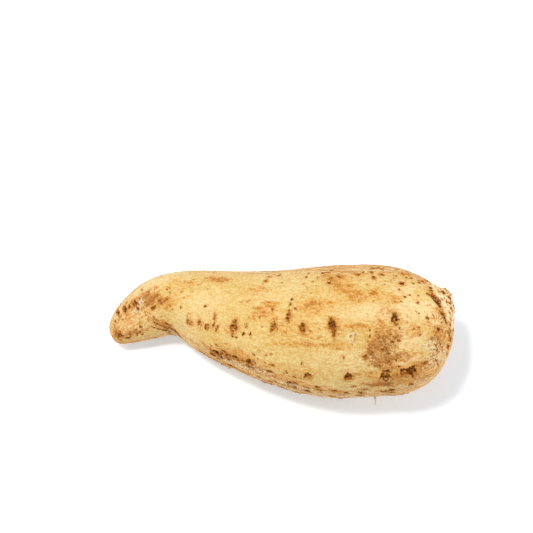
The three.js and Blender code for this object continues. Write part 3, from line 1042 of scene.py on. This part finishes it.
# %% The sound skin: yellows that drift, and short fine streaks along the root
SKIN, tree, shader, place = new_finish("root_skin")
shader.inputs["Specular IOR Level"].default_value = 0.2
on_root = mark(tree, "grown", "Vector")
pale, ochre, brown, weather, freckled, scar, dark, cork, flaky, neck, torn = (mark(tree, name) for name in MARKS)
drift = remap(tree, noise(tree, place, 0.02, 3.0, 1.0), 0.38, 0.62)
warmth = remap(tree, noise(tree, stretched(tree, on_root, 0.02, 0.008), 1.0, 5.0, 2.0, 0.65), 0.48, 0.72)
streaks = noise(tree, stretched(tree, on_root, 0.0036, 0.0012), 1.0, 2.0, 3.0, 0.6)
grit = remap(tree, noise(tree, place, 0.0011, 2.0, 21.0, 0.6), 0.34, 0.66)
colour = paint(
    tree, BUTTER,
    (CREAM, drift, 1.0), (HONEY, warmth, 0.7), (PALE, pale, 0.6),
    (HONEY, remap(tree, streaks, 0.5, 0.64), 0.6), (STRAW, remap(tree, streaks, 0.46, 0.34), 0.5),
    (OCHRE, remap(tree, grit, 0.5, 1.0), 0.4), (STRAW, remap(tree, grit, 0.5, 0.0), 0.35),
)
print(f"sound skin: {len(tree.nodes)} nodes")

# %% The weathered skin: peach and tan patches under dry scales, which turn and run round the neck
bare, patchy, rusty = place_group(tree, SOAKED_STAIN, Mark=weather, Vector=stretched(tree, on_root, 0.009, 0.003),
                                  Break=4.0, Grit=grit, Seed=5.0)
around = vector(tree, "NORMALIZE", vector(tree, "CROSS_PRODUCT", (1, 0, 0), on_root))
along_scales = place_group(tree, DRY_SCALES, Vector=on_root, Overlap=vector(tree, "SCALE", around, scale=0.0005),
                           Length=0.0045, Width=0.0013, Seed=6.0)
neck_scales = place_group(tree, DRY_SCALES, Vector=on_root, Overlap=(-0.0008, 0, 0), Length=0.0022, Width=0.01,
                          Seed=7.0)
shed = remap(tree, noise(tree, place, 0.009, 2.0, 26.0), 0.42, 0.58)
scaly = calc(tree, "MAXIMUM", times(tree, bare, calc(tree, "MULTIPLY_ADD", shed, 0.75, 0.25)), neck)
# The scales' pale edges are a painted highlight and their dark gaps a painted shade; the neck's folds use the same
# two
scale_highlights, scale_shade, scales = (
    times(tree, scaly, blend(tree, first, second, neck)) for first, second in zip(along_scales, neck_scales))
colour = paint(
    tree, colour,
    (PEACH, bare, 0.6), (TAN, patchy, 0.5), (UMBER, rusty, 0.35), (STRAW, neck, 0.6),
    (lay(tree, STRAW, neck, 1.0, PALE), scale_highlights, 0.85), (UMBER, scale_shade, 0.72),
    (lay(tree, RUST, neck, 1.0, BARK), remap(tree, scale_shade, 0.6, 0.95), 0.68),
    # Painted shade in the grooves of the relief, which also stands for soil in them
    (UMBER, mark(tree, "groove"), 0.5),
)
print(f"with weathered skin: {len(tree.nodes)} nodes")

# %% The ochre and the brown stains, and rusty hairlines
# Each stain's mark, the length and width of its patches, its seed, its tones, and the strengths of its four coats
STAINS = [
    (ochre, (0.0045, 0.002), 8.0, (OCHRE, OCHRE, AMBER, RUST), (0.5, 0.42, 0.42, 0.45)),
    (brown, (0.004, 0.0026), 9.0, (TAN, TAN, UMBER, SEPIA), (0.4, 0.55, 0.55, 0.5)),
]
for soaked, patch, seed, tones, strengths in STAINS:
    patches = stretched(tree, on_root, *patch)
    coats = place_group(tree, SOAKED_STAIN, Mark=soaked, Vector=patches, Grit=grit, Seed=seed)
    colour = paint(tree, colour, *zip(tones, (soaked, *coats), strengths))
rubbed = coats["Wash"]
lines = place_group(tree, GRAIN_LINES, Vector=on_root, Line_Length=0.006, Line_Width=0.0006, Seed=27.0)[0]
hairlines = times(tree, remap(tree, lines, 0.6, 0.9), calc(tree, "MULTIPLY_ADD", ochre, 0.85, 0.15))
colour = paint(tree, colour, (RUST, hairlines, 0.55))
print(f"with stains: {len(tree.nodes)} nodes")

# %% The folds of the neck: cream, with a painted highlight on top and a rust-brown painted shade between them
folds, between, _ = (times(tree, neck, part) for part in neck_scales)
colour = paint(
    tree, colour,
    (STRAW, neck, 0.45), (AMBER, between, 0.65), (FIBRE, times(tree, neck, ochre), 0.5),
    (PALE, times(tree, neck, pale), 0.8), (PALE, folds, 0.85), (BARK, remap(tree, between, 0.75, 1.0), 0.6),
)
print(f"with folds: {len(tree.nodes)} nodes")

# %% Freckles, and short dark nicks in the dry skin, each with a raised lip beside it painted pale as a highlight
cover = calc(tree, "MULTIPLY_ADD", freckled, 0.5, calc(tree, "MULTIPLY_ADD", ochre, 0.15, 0.02))
cover = calc(tree, "MULTIPLY_ADD", calc(tree, "MAXIMUM", brown, bare), 0.3, cover)
freckles, halos = place_group(tree, SPECKS, Vector=place, Cell=0.0015, Cover=cover)
freckle_tone = lay(tree, RUST, remap(tree, noise(tree, place, 0.002, 1.0, 20.0), 0.42, 0.58), 1.0, BARK)
nick_place = stretched(tree, on_root, 0.0042, 0.0022)
# Each nick's lip is the same spot moved a little round the root, painted pale: a painted highlight beside the nick
lip_highlight_place = vector(tree, "ADD", nick_place, vector(tree, "SCALE", around, scale=0.3))
nick_cover = times(tree, calc(tree, "MAXIMUM", bare, times(tree, flaky, 0.7)), 0.75)
lips, nicks = (
    place_group(tree, SPECKS, Vector=where, Cell=1.0, Cover=nick_cover, Smallest=0.1, Largest=0.34, Seed=4.0)[0]
    for where in (lip_highlight_place, nick_place))
colour = paint(tree, colour, (AMBER, halos, 0.5), (freckle_tone, freckles, 0.85), (STRAW, lips, 0.75),
               (freckle_tone, nicks, 0.9))
print(f"with freckles and nicks: {len(tree.nodes)} nodes")

# %% Pale flakes, and the scars: a corky lip, and three coats of brown that grow darker in the pits
flaking = calc(
    tree, "MAXIMUM",
    place_group(tree, SPECKS, Vector=on_root, Cell=0.0013, Cover=times(tree, flaky, 0.6), Largest=0.6, Seed=2.0)[0],
    place_group(tree, SOAKED_STAIN, Mark=flaky, Vector=place, Size=0.0012, Seed=12.0)[1])
lip = place_group(tree, SOAKED_STAIN, Mark=cork, Vector=place, Size=0.0009, Seed=13.0)[1]
scar_mark = calc(tree, "MULTIPLY_ADD", scar, 0.55, times(tree, dark, 0.45))
scarred, browned, charred = place_group(tree, SOAKED_STAIN, Mark=scar_mark, Vector=place, Size=0.0012, Break=4.2,
                                        Seed=14.0)
crumbling = noise(tree, place, 0.0007, 3.0, 15.0, 0.65)
pepper = remap(tree, noise(tree, place, 0.001, 2.0, 25.0, 0.6), 0.47, 0.55)
pepper = times(tree, pepper, browned, remap(tree, dark, 0.25, 0.75))
pitch = times(tree, calc(tree, "MAXIMUM", pepper, charred), remap(tree, dark, 0.65, 0.9))
colour = paint(
    tree, colour,
    (PALE, flaking, 0.65), (CORK, lip, 0.6), (AMBER, scarred, 0.85), (RUST, browned, 0.8), (BARK, charred, 0.85),
    (CORK, times(tree, scarred, remap(tree, crumbling, 0.57, 0.68)), 0.6), (BARK, pepper, 0.85), (PITCH, pitch, 0.9),
)
print(f"with flakes and scars: {len(tree.nodes)} nodes")

# %% The torn stem, how rough the skin is, and its finest relief
ends = remap(tree, noise(tree, place, 0.0009, 4.0, 18.0, 0.7), 0.57, 0.7)
colour = paint(tree, colour, (lay(tree, FIBRE, ends, 0.85, FIBRE_TIP), torn, 0.85))
dry = times(tree, rubbed, 0.75)
for dull in (scarred, torn, times(tree, scaly, 0.6)):
    dry = calc(tree, "MAXIMUM", dry, dull)
height = noise(tree, place, 0.0007, 4.0, 19.0, 0.6)
# What stands proud of the grain, or is pressed into it, and by how much
RAISED = [
    (crumbling, calc(tree, "MULTIPLY_ADD", scarred, 1.2, 0.2)), (scales, 1.4), (streaks, -0.3), (freckles, -0.3),
    (nicks, -0.6), (lips, 0.6), (flaking, 0.6),
]
for part, amount in RAISED:
    height = calc(tree, "MULTIPLY_ADD", part, amount, height)
complete(tree, shader, colour, remap(tree, dry, 0, 1, 0.48, 0.92), height, 0.00022)
print(f"skin finish: {len(tree.nodes)} nodes")

# %% [markdown]
# ## Relief that follows the skin
#
# A Geometry Nodes tree gives the lofted skin its relief. It adds up the carving, broad soft lumps, grooves along
# the root that are deeper where the skin is weathered, rings round the neck, and rough corky grain in the scars
# and on the torn stem. It moves each point out along its normal by the sum, and keeps a record of how deep each
# groove is: the finish darkens the grooves with it, a painted shade that also stands for soil. Anything that would
# reach below the table is laid flat on it, where the root rests. The skin and the plates go through the same tree,
# so they stay together.

# %% The relief tree
GEOMETRY = "GeometryNodeTree"


def relief_tree():
    """Moves each point of the skin along its normal."""
    tree, given, out = new_tree(
        "skin_relief", GEOMETRY,
        {"Skin": ("Geometry", None), "Lump Size": ("Float", 0.016), "Lump Height": ("Float", 0.0009),
         "Groove Length": ("Float", 0.013), "Groove Width": ("Float", 0.0024), "Groove Depth": ("Float", 0.0011),
         "Ring Width": ("Float", 0.002), "Ring Length": ("Float", 0.012), "Ring Depth": ("Float", 0.0014),
         "Scar Grain": ("Float", 0.0007), "Scar Roughness": ("Float", 0.0008),
         "Torn Grain": ("Float", 0.0014), "Torn Roughness": ("Float", 0.0026),
         "Table": ("Float", 0.0), "Seed": ("Float", 3.0), "Finish": ("Material", None)},
        {"Skin": ("Geometry", None)},
    )
    place = add(tree, "GeometryNodeInputPosition").outputs[0]
    on_root = named(tree, "grown", "FLOAT_VECTOR")

    def swell(spread, size, detail):
        """Noise from about -0.5 to 0.5."""
        return calc(tree, "SUBTRACT", noise(tree, spread, size, detail, given["Seed"]), 0.5)

    lumps = swell(place, given["Lump Size"], 2.0)
    grooves = swell(stretched(tree, on_root, given["Groove Length"], given["Groove Width"]), 1.0, 3.0)
    rings = swell(stretched(tree, on_root, given["Ring Width"], given["Ring Length"]), 1.0, 2.0)
    scar_grain = swell(place, given["Scar Grain"], 2.0)
    torn_grain = swell(place, given["Torn Grain"], 3.0)

    neck, weather = named(tree, "neck"), named(tree, "weather")
    groove_share = times(tree, calc(tree, "MULTIPLY_ADD", weather, 0.8, 0.2), calc(tree, "SUBTRACT", 1.0, neck))
    grooved = times(tree, grooves, groove_share, given["Groove Depth"])
    ringed = times(tree, rings, neck, given["Ring Depth"])
    hollow = calc(tree, "ADD", grooved, ringed)
    scarred = times(tree, scar_grain, named(tree, "scar"), given["Scar Roughness"])
    torn = times(tree, torn_grain, named(tree, "torn"), given["Torn Roughness"])
    total = calc(tree, "MULTIPLY_ADD", lumps, given["Lump Height"], named(tree, "carved"))
    for part in (hollow, scarred, torn):
        total = calc(tree, "ADD", total, part)
    normal = add(tree, "GeometryNodeInputNormal").outputs[0]
    # How deep the grooves are, for the painted shade, also standing for soil, that the finish lays in them
    groove_soil_and_shade = remap(tree, hollow, -0.00005, -0.0003)
    record = {"Geometry": given["Skin"], "Name": "groove", "Value": groove_soil_and_shade}
    recorded = add(tree, "GeometryNodeStoreNamedAttribute", record, data_type="FLOAT", domain="POINT").outputs[0]
    raised = moved_by(tree, recorded, vector(tree, "SCALE", normal, scale=total))
    feed(tree, out["Skin"], with_finish(tree, kept_above(tree, raised, given["Table"]), given["Finish"]))
    return tree


RELIEF = relief_tree()
root = grow("root_body", skin_mesh, RELIEF, Finish=SKIN, Table=low.z)
scars = grow("root_scars", plate_mesh, RELIEF, Finish=SKIN, Table=low.z)
root_points = np.array([vertex.co for vertex in root.data.vertices]) / MM
print("body box, mm:", np.ptp(root_points, axis=0).round(1), "highest", root_points[:, 2].max().round(2))

# %% [markdown]
# ## Corky bits
#
# Real cork isn't smooth. Crumbs of it stand in the scars, thin flakes lift from rubbed skin, hundreds of tiny
# raised pores dot the rest, and dark scraps cling to the torn stem. All four are the same thing at different
# sizes: rough grains strewn over the skin where a mark says so. One Geometry Nodes tree strews them. It takes the
# name of the mark, how many grains, how large and how flat, so the four differ only in their numbers.

# %% The finishes of the bits


def grainy_material(name, first, second, fleck):
    """A dry crumbly finish: two colours in grains, with flecks of a third."""
    material, tree, shader, place = new_finish(name)
    grain = noise(tree, place, 0.0011, 4.0, 1.0, 0.65)
    colour = lay(tree, first, remap(tree, grain, 0.38, 0.62), 1.0, second)
    colour = lay(tree, colour, place_group(tree, SPECKS, Vector=place, Cell=0.0008, Cover=0.3)[0], 0.7, fleck)
    roughness = remap(tree, grain, 0.3, 0.7, 0.75, 0.95)
    complete(tree, shader, colour, roughness, noise(tree, place, 0.0004, 3.0, 3.0), 0.0001)
    return material


DRY_CORK = grainy_material("dry_cork", RUST, CORK, SEPIA)
SCAR_CORK = grainy_material("scar_cork", BARK, AMBER, PITCH)
PAPERY_SKIN = grainy_material("papery_skin", CORK, PALE, UMBER)
DARK_SCRAP = grainy_material("dark_scrap", SEPIA, UMBER, PITCH)
print("crumbly finishes:", [finish.name for finish in (DRY_CORK, SCAR_CORK, PAPERY_SKIN, DARK_SCRAP)])

# %% The tree that strews grains over the skin
GRAIN_TILT = 0.35  # how far a grain may be tipped off the skin, in radians
GRAIN_LUMPS = 2600.0  # how many lumps of its rough surface to a metre


def strew_tree():
    """Rough flattened grains, lying on the skin wherever a mark is strong."""
    tree, given, out = new_tree(
        "strew_grains", GEOMETRY,
        {"Skin": ("Geometry", None), "Mark": ("String", "cork"), "Least Mark": ("Float", 0.3),
         "Grains per Square Metre": ("Float", 100000.0), "Smallest": ("Float", 0.0002), "Largest": ("Float", 0.0006),
         "Flatness": ("Float", 0.4), "Seed": ("Int", 1), "Finish": ("Material", None)},
        {"Grains": ("Geometry", None)},
    )
    strength = add(tree, "GeometryNodeInputNamedAttribute", {"Name": given["Mark"]}, data_type="FLOAT").outputs[0]
    share = add(tree, "ShaderNodeMapRange", {0: strength, 1: given["Least Mark"], 2: 1.0}).outputs[0]
    density = calc(tree, "MULTIPLY", share, given["Grains per Square Metre"])
    spots = add(tree, "GeometryNodeDistributePointsOnFaces",
                {"Mesh": given["Skin"], "Density": density, "Seed": given["Seed"]}).outputs
    grain = add(tree, "GeometryNodeMeshUVSphere", {"Segments": 7, "Rings": 5, "Radius": 1.0}).outputs[0]

    size = add(tree, "FunctionNodeRandomValue", {2: given["Smallest"], 3: given["Largest"], 8: given["Seed"]},
               data_type="FLOAT").outputs[1]
    shapes = add(tree, "FunctionNodeRandomValue", {0: (0.6, 0.6, 0.7), 1: (1.4, 1.4, 1.3)},
                 data_type="FLOAT_VECTOR").outputs[0]
    flat = add(tree, "ShaderNodeCombineXYZ", {0: 1.0, 1: 1.0, 2: given["Flatness"]}).outputs[0]
    sizes = vector(tree, "SCALE", vector(tree, "MULTIPLY", shapes, flat), scale=size)
    strewn = add(tree, "GeometryNodeInstanceOnPoints",
                 {"Points": spots["Points"], "Instance": grain, "Rotation": spots["Rotation"], "Scale": sizes})
    spins = {0: (-GRAIN_TILT, -GRAIN_TILT, 0), 1: (GRAIN_TILT, GRAIN_TILT, math.tau)}
    spin = add(tree, "FunctionNodeRandomValue", spins, data_type="FLOAT_VECTOR").outputs[0]
    turned = add(tree, "GeometryNodeRotateInstances", {"Instances": strewn.outputs[0], "Rotation": spin}).outputs[0]
    whole = add(tree, "GeometryNodeRealizeInstances", {0: turned}).outputs[0]

    place = add(tree, "GeometryNodeInputPosition").outputs[0]
    rough = add(tree, "ShaderNodeTexNoise", {"Vector": place, "Scale": GRAIN_LUMPS, "Detail": 1.0}).outputs[1]
    push = vector(tree, "SCALE", vector(tree, "SUBTRACT", rough, (0.5, 0.5, 0.5)), scale=given["Largest"])
    feed(tree, out["Grains"], with_finish(tree, moved_by(tree, whole, push), given["Finish"]))
    return tree


STREW = strew_tree()
print(f"the strewing tree: {len(STREW.nodes)} nodes")

# %% Strew the crumbs, the flakes, the pores and the scraps
# What each lies on, then the tree's inputs: where, the least mark, how many, how large, how flat, seed and finish
STREWN = {
    "scar_crumbs": (scars, "scar", 0.4, 1.5e6, 0.0001, 0.00032, 0.6, 5, SCAR_CORK),
    "skin_flakes": (root, "flaky", 0.25, 7e5, 0.00015, 0.0005, 0.2, 8, PAPERY_SKIN),
    "skin_pores": (root, "weather", -0.4, 3.4e4, 0.0001, 0.0003, 0.4, 13, DRY_CORK),
    "stem_scraps": (root, "torn", 0.5, 7e5, 0.0002, 0.0007, 0.7, 21, DARK_SCRAP),
}
STREW_INPUTS = ("Mark", "Least_Mark", "Grains_per_Square_Metre", "Smallest", "Largest", "Flatness", "Seed", "Finish")
crumbs, flakes, pores, scraps = (
    grow(name, ground.data, STREW, **dict(zip(STREW_INPUTS, values)))
    for name, (ground, *values) in STREWN.items())

# %% [markdown]
# ## Torn fibres and hair roots
#
# The torn stem bristles with broken fibres, and a few hair roots as thin as thread are left on the skin. Both are
# strands that leave a point in a set direction, bend, and thin out to a tip. The points, directions and lengths
# go in as a mesh of bare vertices, and a second tree grows a tapered tube from each.

# %% The fibre material


def fibre_material():
    """Dry plant fibre, straw at the foot and brown in patches, with lines along it."""
    material, tree, shader, place = new_finish("dry_fibre")
    patches = noise(tree, place, 0.0016, 3.0, 1.0)
    colour = lay(tree, FIBRE, remap(tree, patches, 0.45, 0.62), 0.9, FIBRE_TIP)
    lines = place_group(tree, GRAIN_LINES, Vector=place, Line_Length=0.002, Line_Width=0.00012)[0]
    colour = lay(tree, colour, lines, 0.4, PALE)
    complete(tree, shader, colour, remap(tree, lines, 0, 1, 0.65, 0.85), lines, 0.00005)
    return material


DRY_FIBRE = fibre_material()
print(f"fibre finish: {len(DRY_FIBRE.node_tree.nodes)} nodes")

# %% The tree that grows strands


def strand_tree():
    """A bent, tapered strand from each point, along its way attribute."""
    tree, given, out = new_tree(
        "grow_strands", GEOMETRY,
        {"Feet": ("Geometry", None), "Bend": ("Float", 0.3), "Curl Size": ("Float", 0.002), "Steps": ("Int", 8),
         "Sides": ("Int", 5), "Table": ("Float", 0.0), "Seed": ("Float", 2.0), "Finish": ("Material", None)},
        {"Strands": ("Geometry", None)},
    )
    line = add(tree, "GeometryNodeCurvePrimitiveLine", {"End": (0, 0, 1)}).outputs[0]
    stepped = add(tree, "GeometryNodeResampleCurve", {"Curve": line, "Count": given["Steps"]}).outputs[0]
    aim = add(tree, "FunctionNodeAlignRotationToVector", {"Vector": named(tree, "way", "FLOAT_VECTOR")},
              axis="Z").outputs[0]
    reach = named(tree, "reach")
    strands = add(tree, "GeometryNodeInstanceOnPoints",
                  {"Points": given["Feet"], "Instance": stepped, "Rotation": aim, "Scale": reach}).outputs[0]
    whole = add(tree, "GeometryNodeRealizeInstances", {0: strands}).outputs[0]

    along = add(tree, "GeometryNodeSplineParameter").outputs["Factor"]
    place = add(tree, "GeometryNodeInputPosition").outputs[0]
    scale = calc(tree, "DIVIDE", 1.0, given["Curl Size"])
    curl = add(tree, "ShaderNodeTexNoise", {"Vector": place, "W": given["Seed"], "Scale": scale, "Detail": 1.0},
               noise_dimensions="4D").outputs[1]
    push = times(tree, along, reach, given["Bend"], 4.0)
    offset = vector(tree, "SCALE", vector(tree, "SUBTRACT", curl, (0.5, 0.5, 0.5)), scale=push)
    bent = kept_above(tree, moved_by(tree, whole, offset), given["Table"])

    taper = calc(tree, "MULTIPLY_ADD", along, -0.8, 1.0)
    ring = add(tree, "GeometryNodeCurvePrimitiveCircle", {"Resolution": given["Sides"], "Radius": 1.0}).outputs[0]
    tubes = add(tree, "GeometryNodeCurveToMesh",
                {"Curve": bent, "Profile Curve": ring, "Fill Caps": True,
                 "Scale": times(tree, taper, named(tree, "thickness"))}).outputs[0]
    feed(tree, out["Strands"], with_finish(tree, tubes, given["Finish"]))
    return tree


STRANDS = strand_tree()
print(f"the strand tree: {len(STRANDS.nodes)} nodes")

# %% The points that strands grow from


def feet(name, places, ways, reaches, thicknesses):
    """A mesh of bare points that strands grow from, given in millimetres."""
    mesh = bpy.data.meshes.new(name)
    mesh.from_pydata((np.array(places) * MM).tolist(), [], [])
    mesh.attributes.new("way", "FLOAT_VECTOR", "POINT").data.foreach_set("vector", np.array(ways, np.float32).ravel())
    for label, values in (("reach", reaches), ("thickness", thicknesses)):
        data = mesh.attributes.new(label, "FLOAT", "POINT").data
        data.foreach_set("value", (np.array(values) * MM).astype(np.float32))
    return mesh


# %% Fibres on the torn stem
FIBRES = 190
FOOT_DEPTH = 0.6  # how deep a fibre's foot is set, so that it grows out of the face
FIBRE_FLARE, FIBRE_SPREAD = 0.4, 0.25  # how far they lean outwards, and how much they differ
SHORTEST_FIBRE = 0.7
FIBRE_RADII = (0.1, 0.28)
ring_picks = chance.integers(SKIN_RINGS - 5, rings - 2, FIBRES)
side_picks = chance.integers(0, SIDES, FIBRES)
fibre_places = shape[ring_picks, side_picks] - stem_axis * FOOT_DEPTH
flared = stem_axis + FIBRE_FLARE * outward[ring_picks, side_picks]
fibre_ways = unit(flared + chance.normal(0, FIBRE_SPREAD, (FIBRES, 3)))
fibre_lengths = chance.gamma(3, 0.35, FIBRES) + SHORTEST_FIBRE
fibre_widths = chance.uniform(*FIBRE_RADII, FIBRES)
fibre_feet = feet("fibre_feet", fibre_places, fibre_ways, fibre_lengths, fibre_widths)
print(f"{FIBRES} fibres, {fibre_lengths.min():.1f} to {fibre_lengths.max():.1f} mm long")
fibres = grow("torn_fibres", fibre_feet, STRANDS, Bend=0.3, Curl_Size=0.0025, Seed=4.0, Finish=DRY_FIBRE)

# %% Hair roots left on the skin
# x, turn, length, and radius at the foot
HAIR_ROOTS = [
    (48.3, 200, 4.6, 0.34), (49.2, 199, 3.2, 0.26), (-20, 240, 6, 0.2), (30, 285, 4.5, 0.2), (-60, 300, 5, 0.18),
    (12, 335, 5, 0.2), (66, 350, 4, 0.2), (-84, 30, 3.5, 0.22), (-5, 215, 3, 0.18), (40, 320, 6, 0.2),
]
HAIR_FOOT_DEPTH, HAIR_SPREAD = 0.4, 0.5
HAIR_CLEARANCE = 0.0003  # how far above the table the middle of a hair root stays, about its own radius
xs, turns, hair_lengths, hair_widths = zip(*HAIR_ROOTS)
hair_spots = [spot(x, turn) for x, turn in zip(xs, turns)]
hair_ways = [unit(outward[at] + chance.normal(0, HAIR_SPREAD, 3)) for at in hair_spots]
hair_places = [shape[at] - HAIR_FOOT_DEPTH * outward[at] for at in hair_spots]
hair_feet = feet("hair_feet", hair_places, hair_ways, hair_lengths, hair_widths)
hairs = grow("hair_roots", hair_feet, STRANDS, Bend=0.35, Curl_Size=0.004, Steps=16, Table=low.z + HAIR_CLEARANCE,
             Seed=9.0, Finish=DRY_FIBRE)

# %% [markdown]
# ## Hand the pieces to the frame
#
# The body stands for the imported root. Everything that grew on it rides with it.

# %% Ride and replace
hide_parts("sweet_potato")
for piece in (root, scars, crumbs, flakes, pores, scraps, fibres, hairs):
    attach(piece, "root")
    print(f"{piece.name} rides on the root")

# %% [markdown]
# ## Floor, light and camera
#
# A plain white floor, one soft lamp overhead, one at each side and an even pale sky give a clean light, with a
# faint soft shadow to the front and the right. The camera looks steeply down, as one looks at food on a table.

# %% The floor
FLOOR_GLOW = 0.26
GLOW_TINT = (0.7, 0.96, 1.22, 1)  # bluish, because the root's warm colour spills onto the floor


def floor_material():
    """Matt white paper with a trace of unevenness, on a light table that thins the shadow."""
    material, tree, shader, place = new_finish("pale_floor")
    shader.inputs["Emission Color"].default_value = GLOW_TINT
    shader.inputs["Emission Strength"].default_value = FLOOR_GLOW
    tint = noise(tree, place, 0.08, 2.0, 1.0)
    colour = lay(tree, tone(246, 246, 246), remap(tree, tint, 0.3, 0.7), 1.0, tone(249, 249, 249))
    complete(tree, shader, colour, remap(tree, tint, 0.3, 0.7, 0.85, 0.95))
    return material


FLOOR_HALF = 2.0
corners = [(x * FLOOR_HALF, y * FLOOR_HALF, low.z - 0.0001) for x, y in ((-1, -1), (1, -1), (1, 1), (-1, 1))]
floor_mesh = bpy.data.meshes.new("floor")
floor_mesh.from_pydata(corners, [], [(0, 1, 2, 3)])
floor_mesh.materials.append(floor_material())
floor = bpy.data.objects.new("floor", floor_mesh)
bpy.context.scene.collection.objects.link(floor)
print(f"a floor {2 * FLOOR_HALF:.0f} m square, just under the root")

# %% The light


def look_at(thing, target):
    """Turns a lamp or a camera to face a point."""
    thing.rotation_euler = (Vector(target) - thing.location).to_track_quat("-Z", "Y").to_euler()


# Place, size and watts of each lamp
LAMPS = {
    "top_lamp": ((-0.45, 0.015, 1.5), 0.3, 15.6),
    "left_lamp": ((-0.9, 0.225, 1.26), 0.9, 3.9),
    "right_lamp": ((0.9, 0.1, 0.16), 0.3, 3.5),
}
SKY_STRENGTH = 0.5
for name, (place, size, watts) in LAMPS.items():
    lamp_data = bpy.data.lights.new(name, "AREA")
    lamp_data.size, lamp_data.energy = size, watts
    lamp = bpy.data.objects.new(name, lamp_data)
    lamp.location = place
    look_at(lamp, (0, 0, 0.03))
    bpy.context.scene.collection.objects.link(lamp)
sky = bpy.data.worlds.new("pale_sky")
sky.use_nodes = True
sky.node_tree.nodes["Background"].inputs["Color"].default_value = (1, 1, 1, 1)
sky.node_tree.nodes["Background"].inputs["Strength"].default_value = SKY_STRENGTH
bpy.context.scene.world = sky
bpy.context.scene.view_settings.view_transform = "Standard"
print("lamps:", list(LAMPS))

# %% The camera
CAMERA_ELEVATION = math.radians(65)
CAMERA_DISTANCE = 0.905
AIM = Vector((-0.0069, 0.0358, 0.0308))  # a point behind the root, so that it lies below the middle of the picture
PICTURE_WIDTH = 0.2798  # what the camera takes in at the aim, side to side
camera_data = bpy.data.cameras.new("camera")
camera_data.lens = camera_data.sensor_width * CAMERA_DISTANCE / PICTURE_WIDTH
camera_data.clip_start, camera_data.clip_end = 0.01, 20
camera = bpy.data.objects.new("camera", camera_data)
camera.location = AIM + CAMERA_DISTANCE * Vector((0, -math.cos(CAMERA_ELEVATION), math.sin(CAMERA_ELEVATION)))
look_at(camera, AIM)
bpy.context.scene.collection.objects.link(camera)
bpy.context.scene.camera = camera
print(f"camera: lens {camera_data.lens:.0f} mm, {CAMERA_DISTANCE:.1f} m away, looking down 65 degrees")
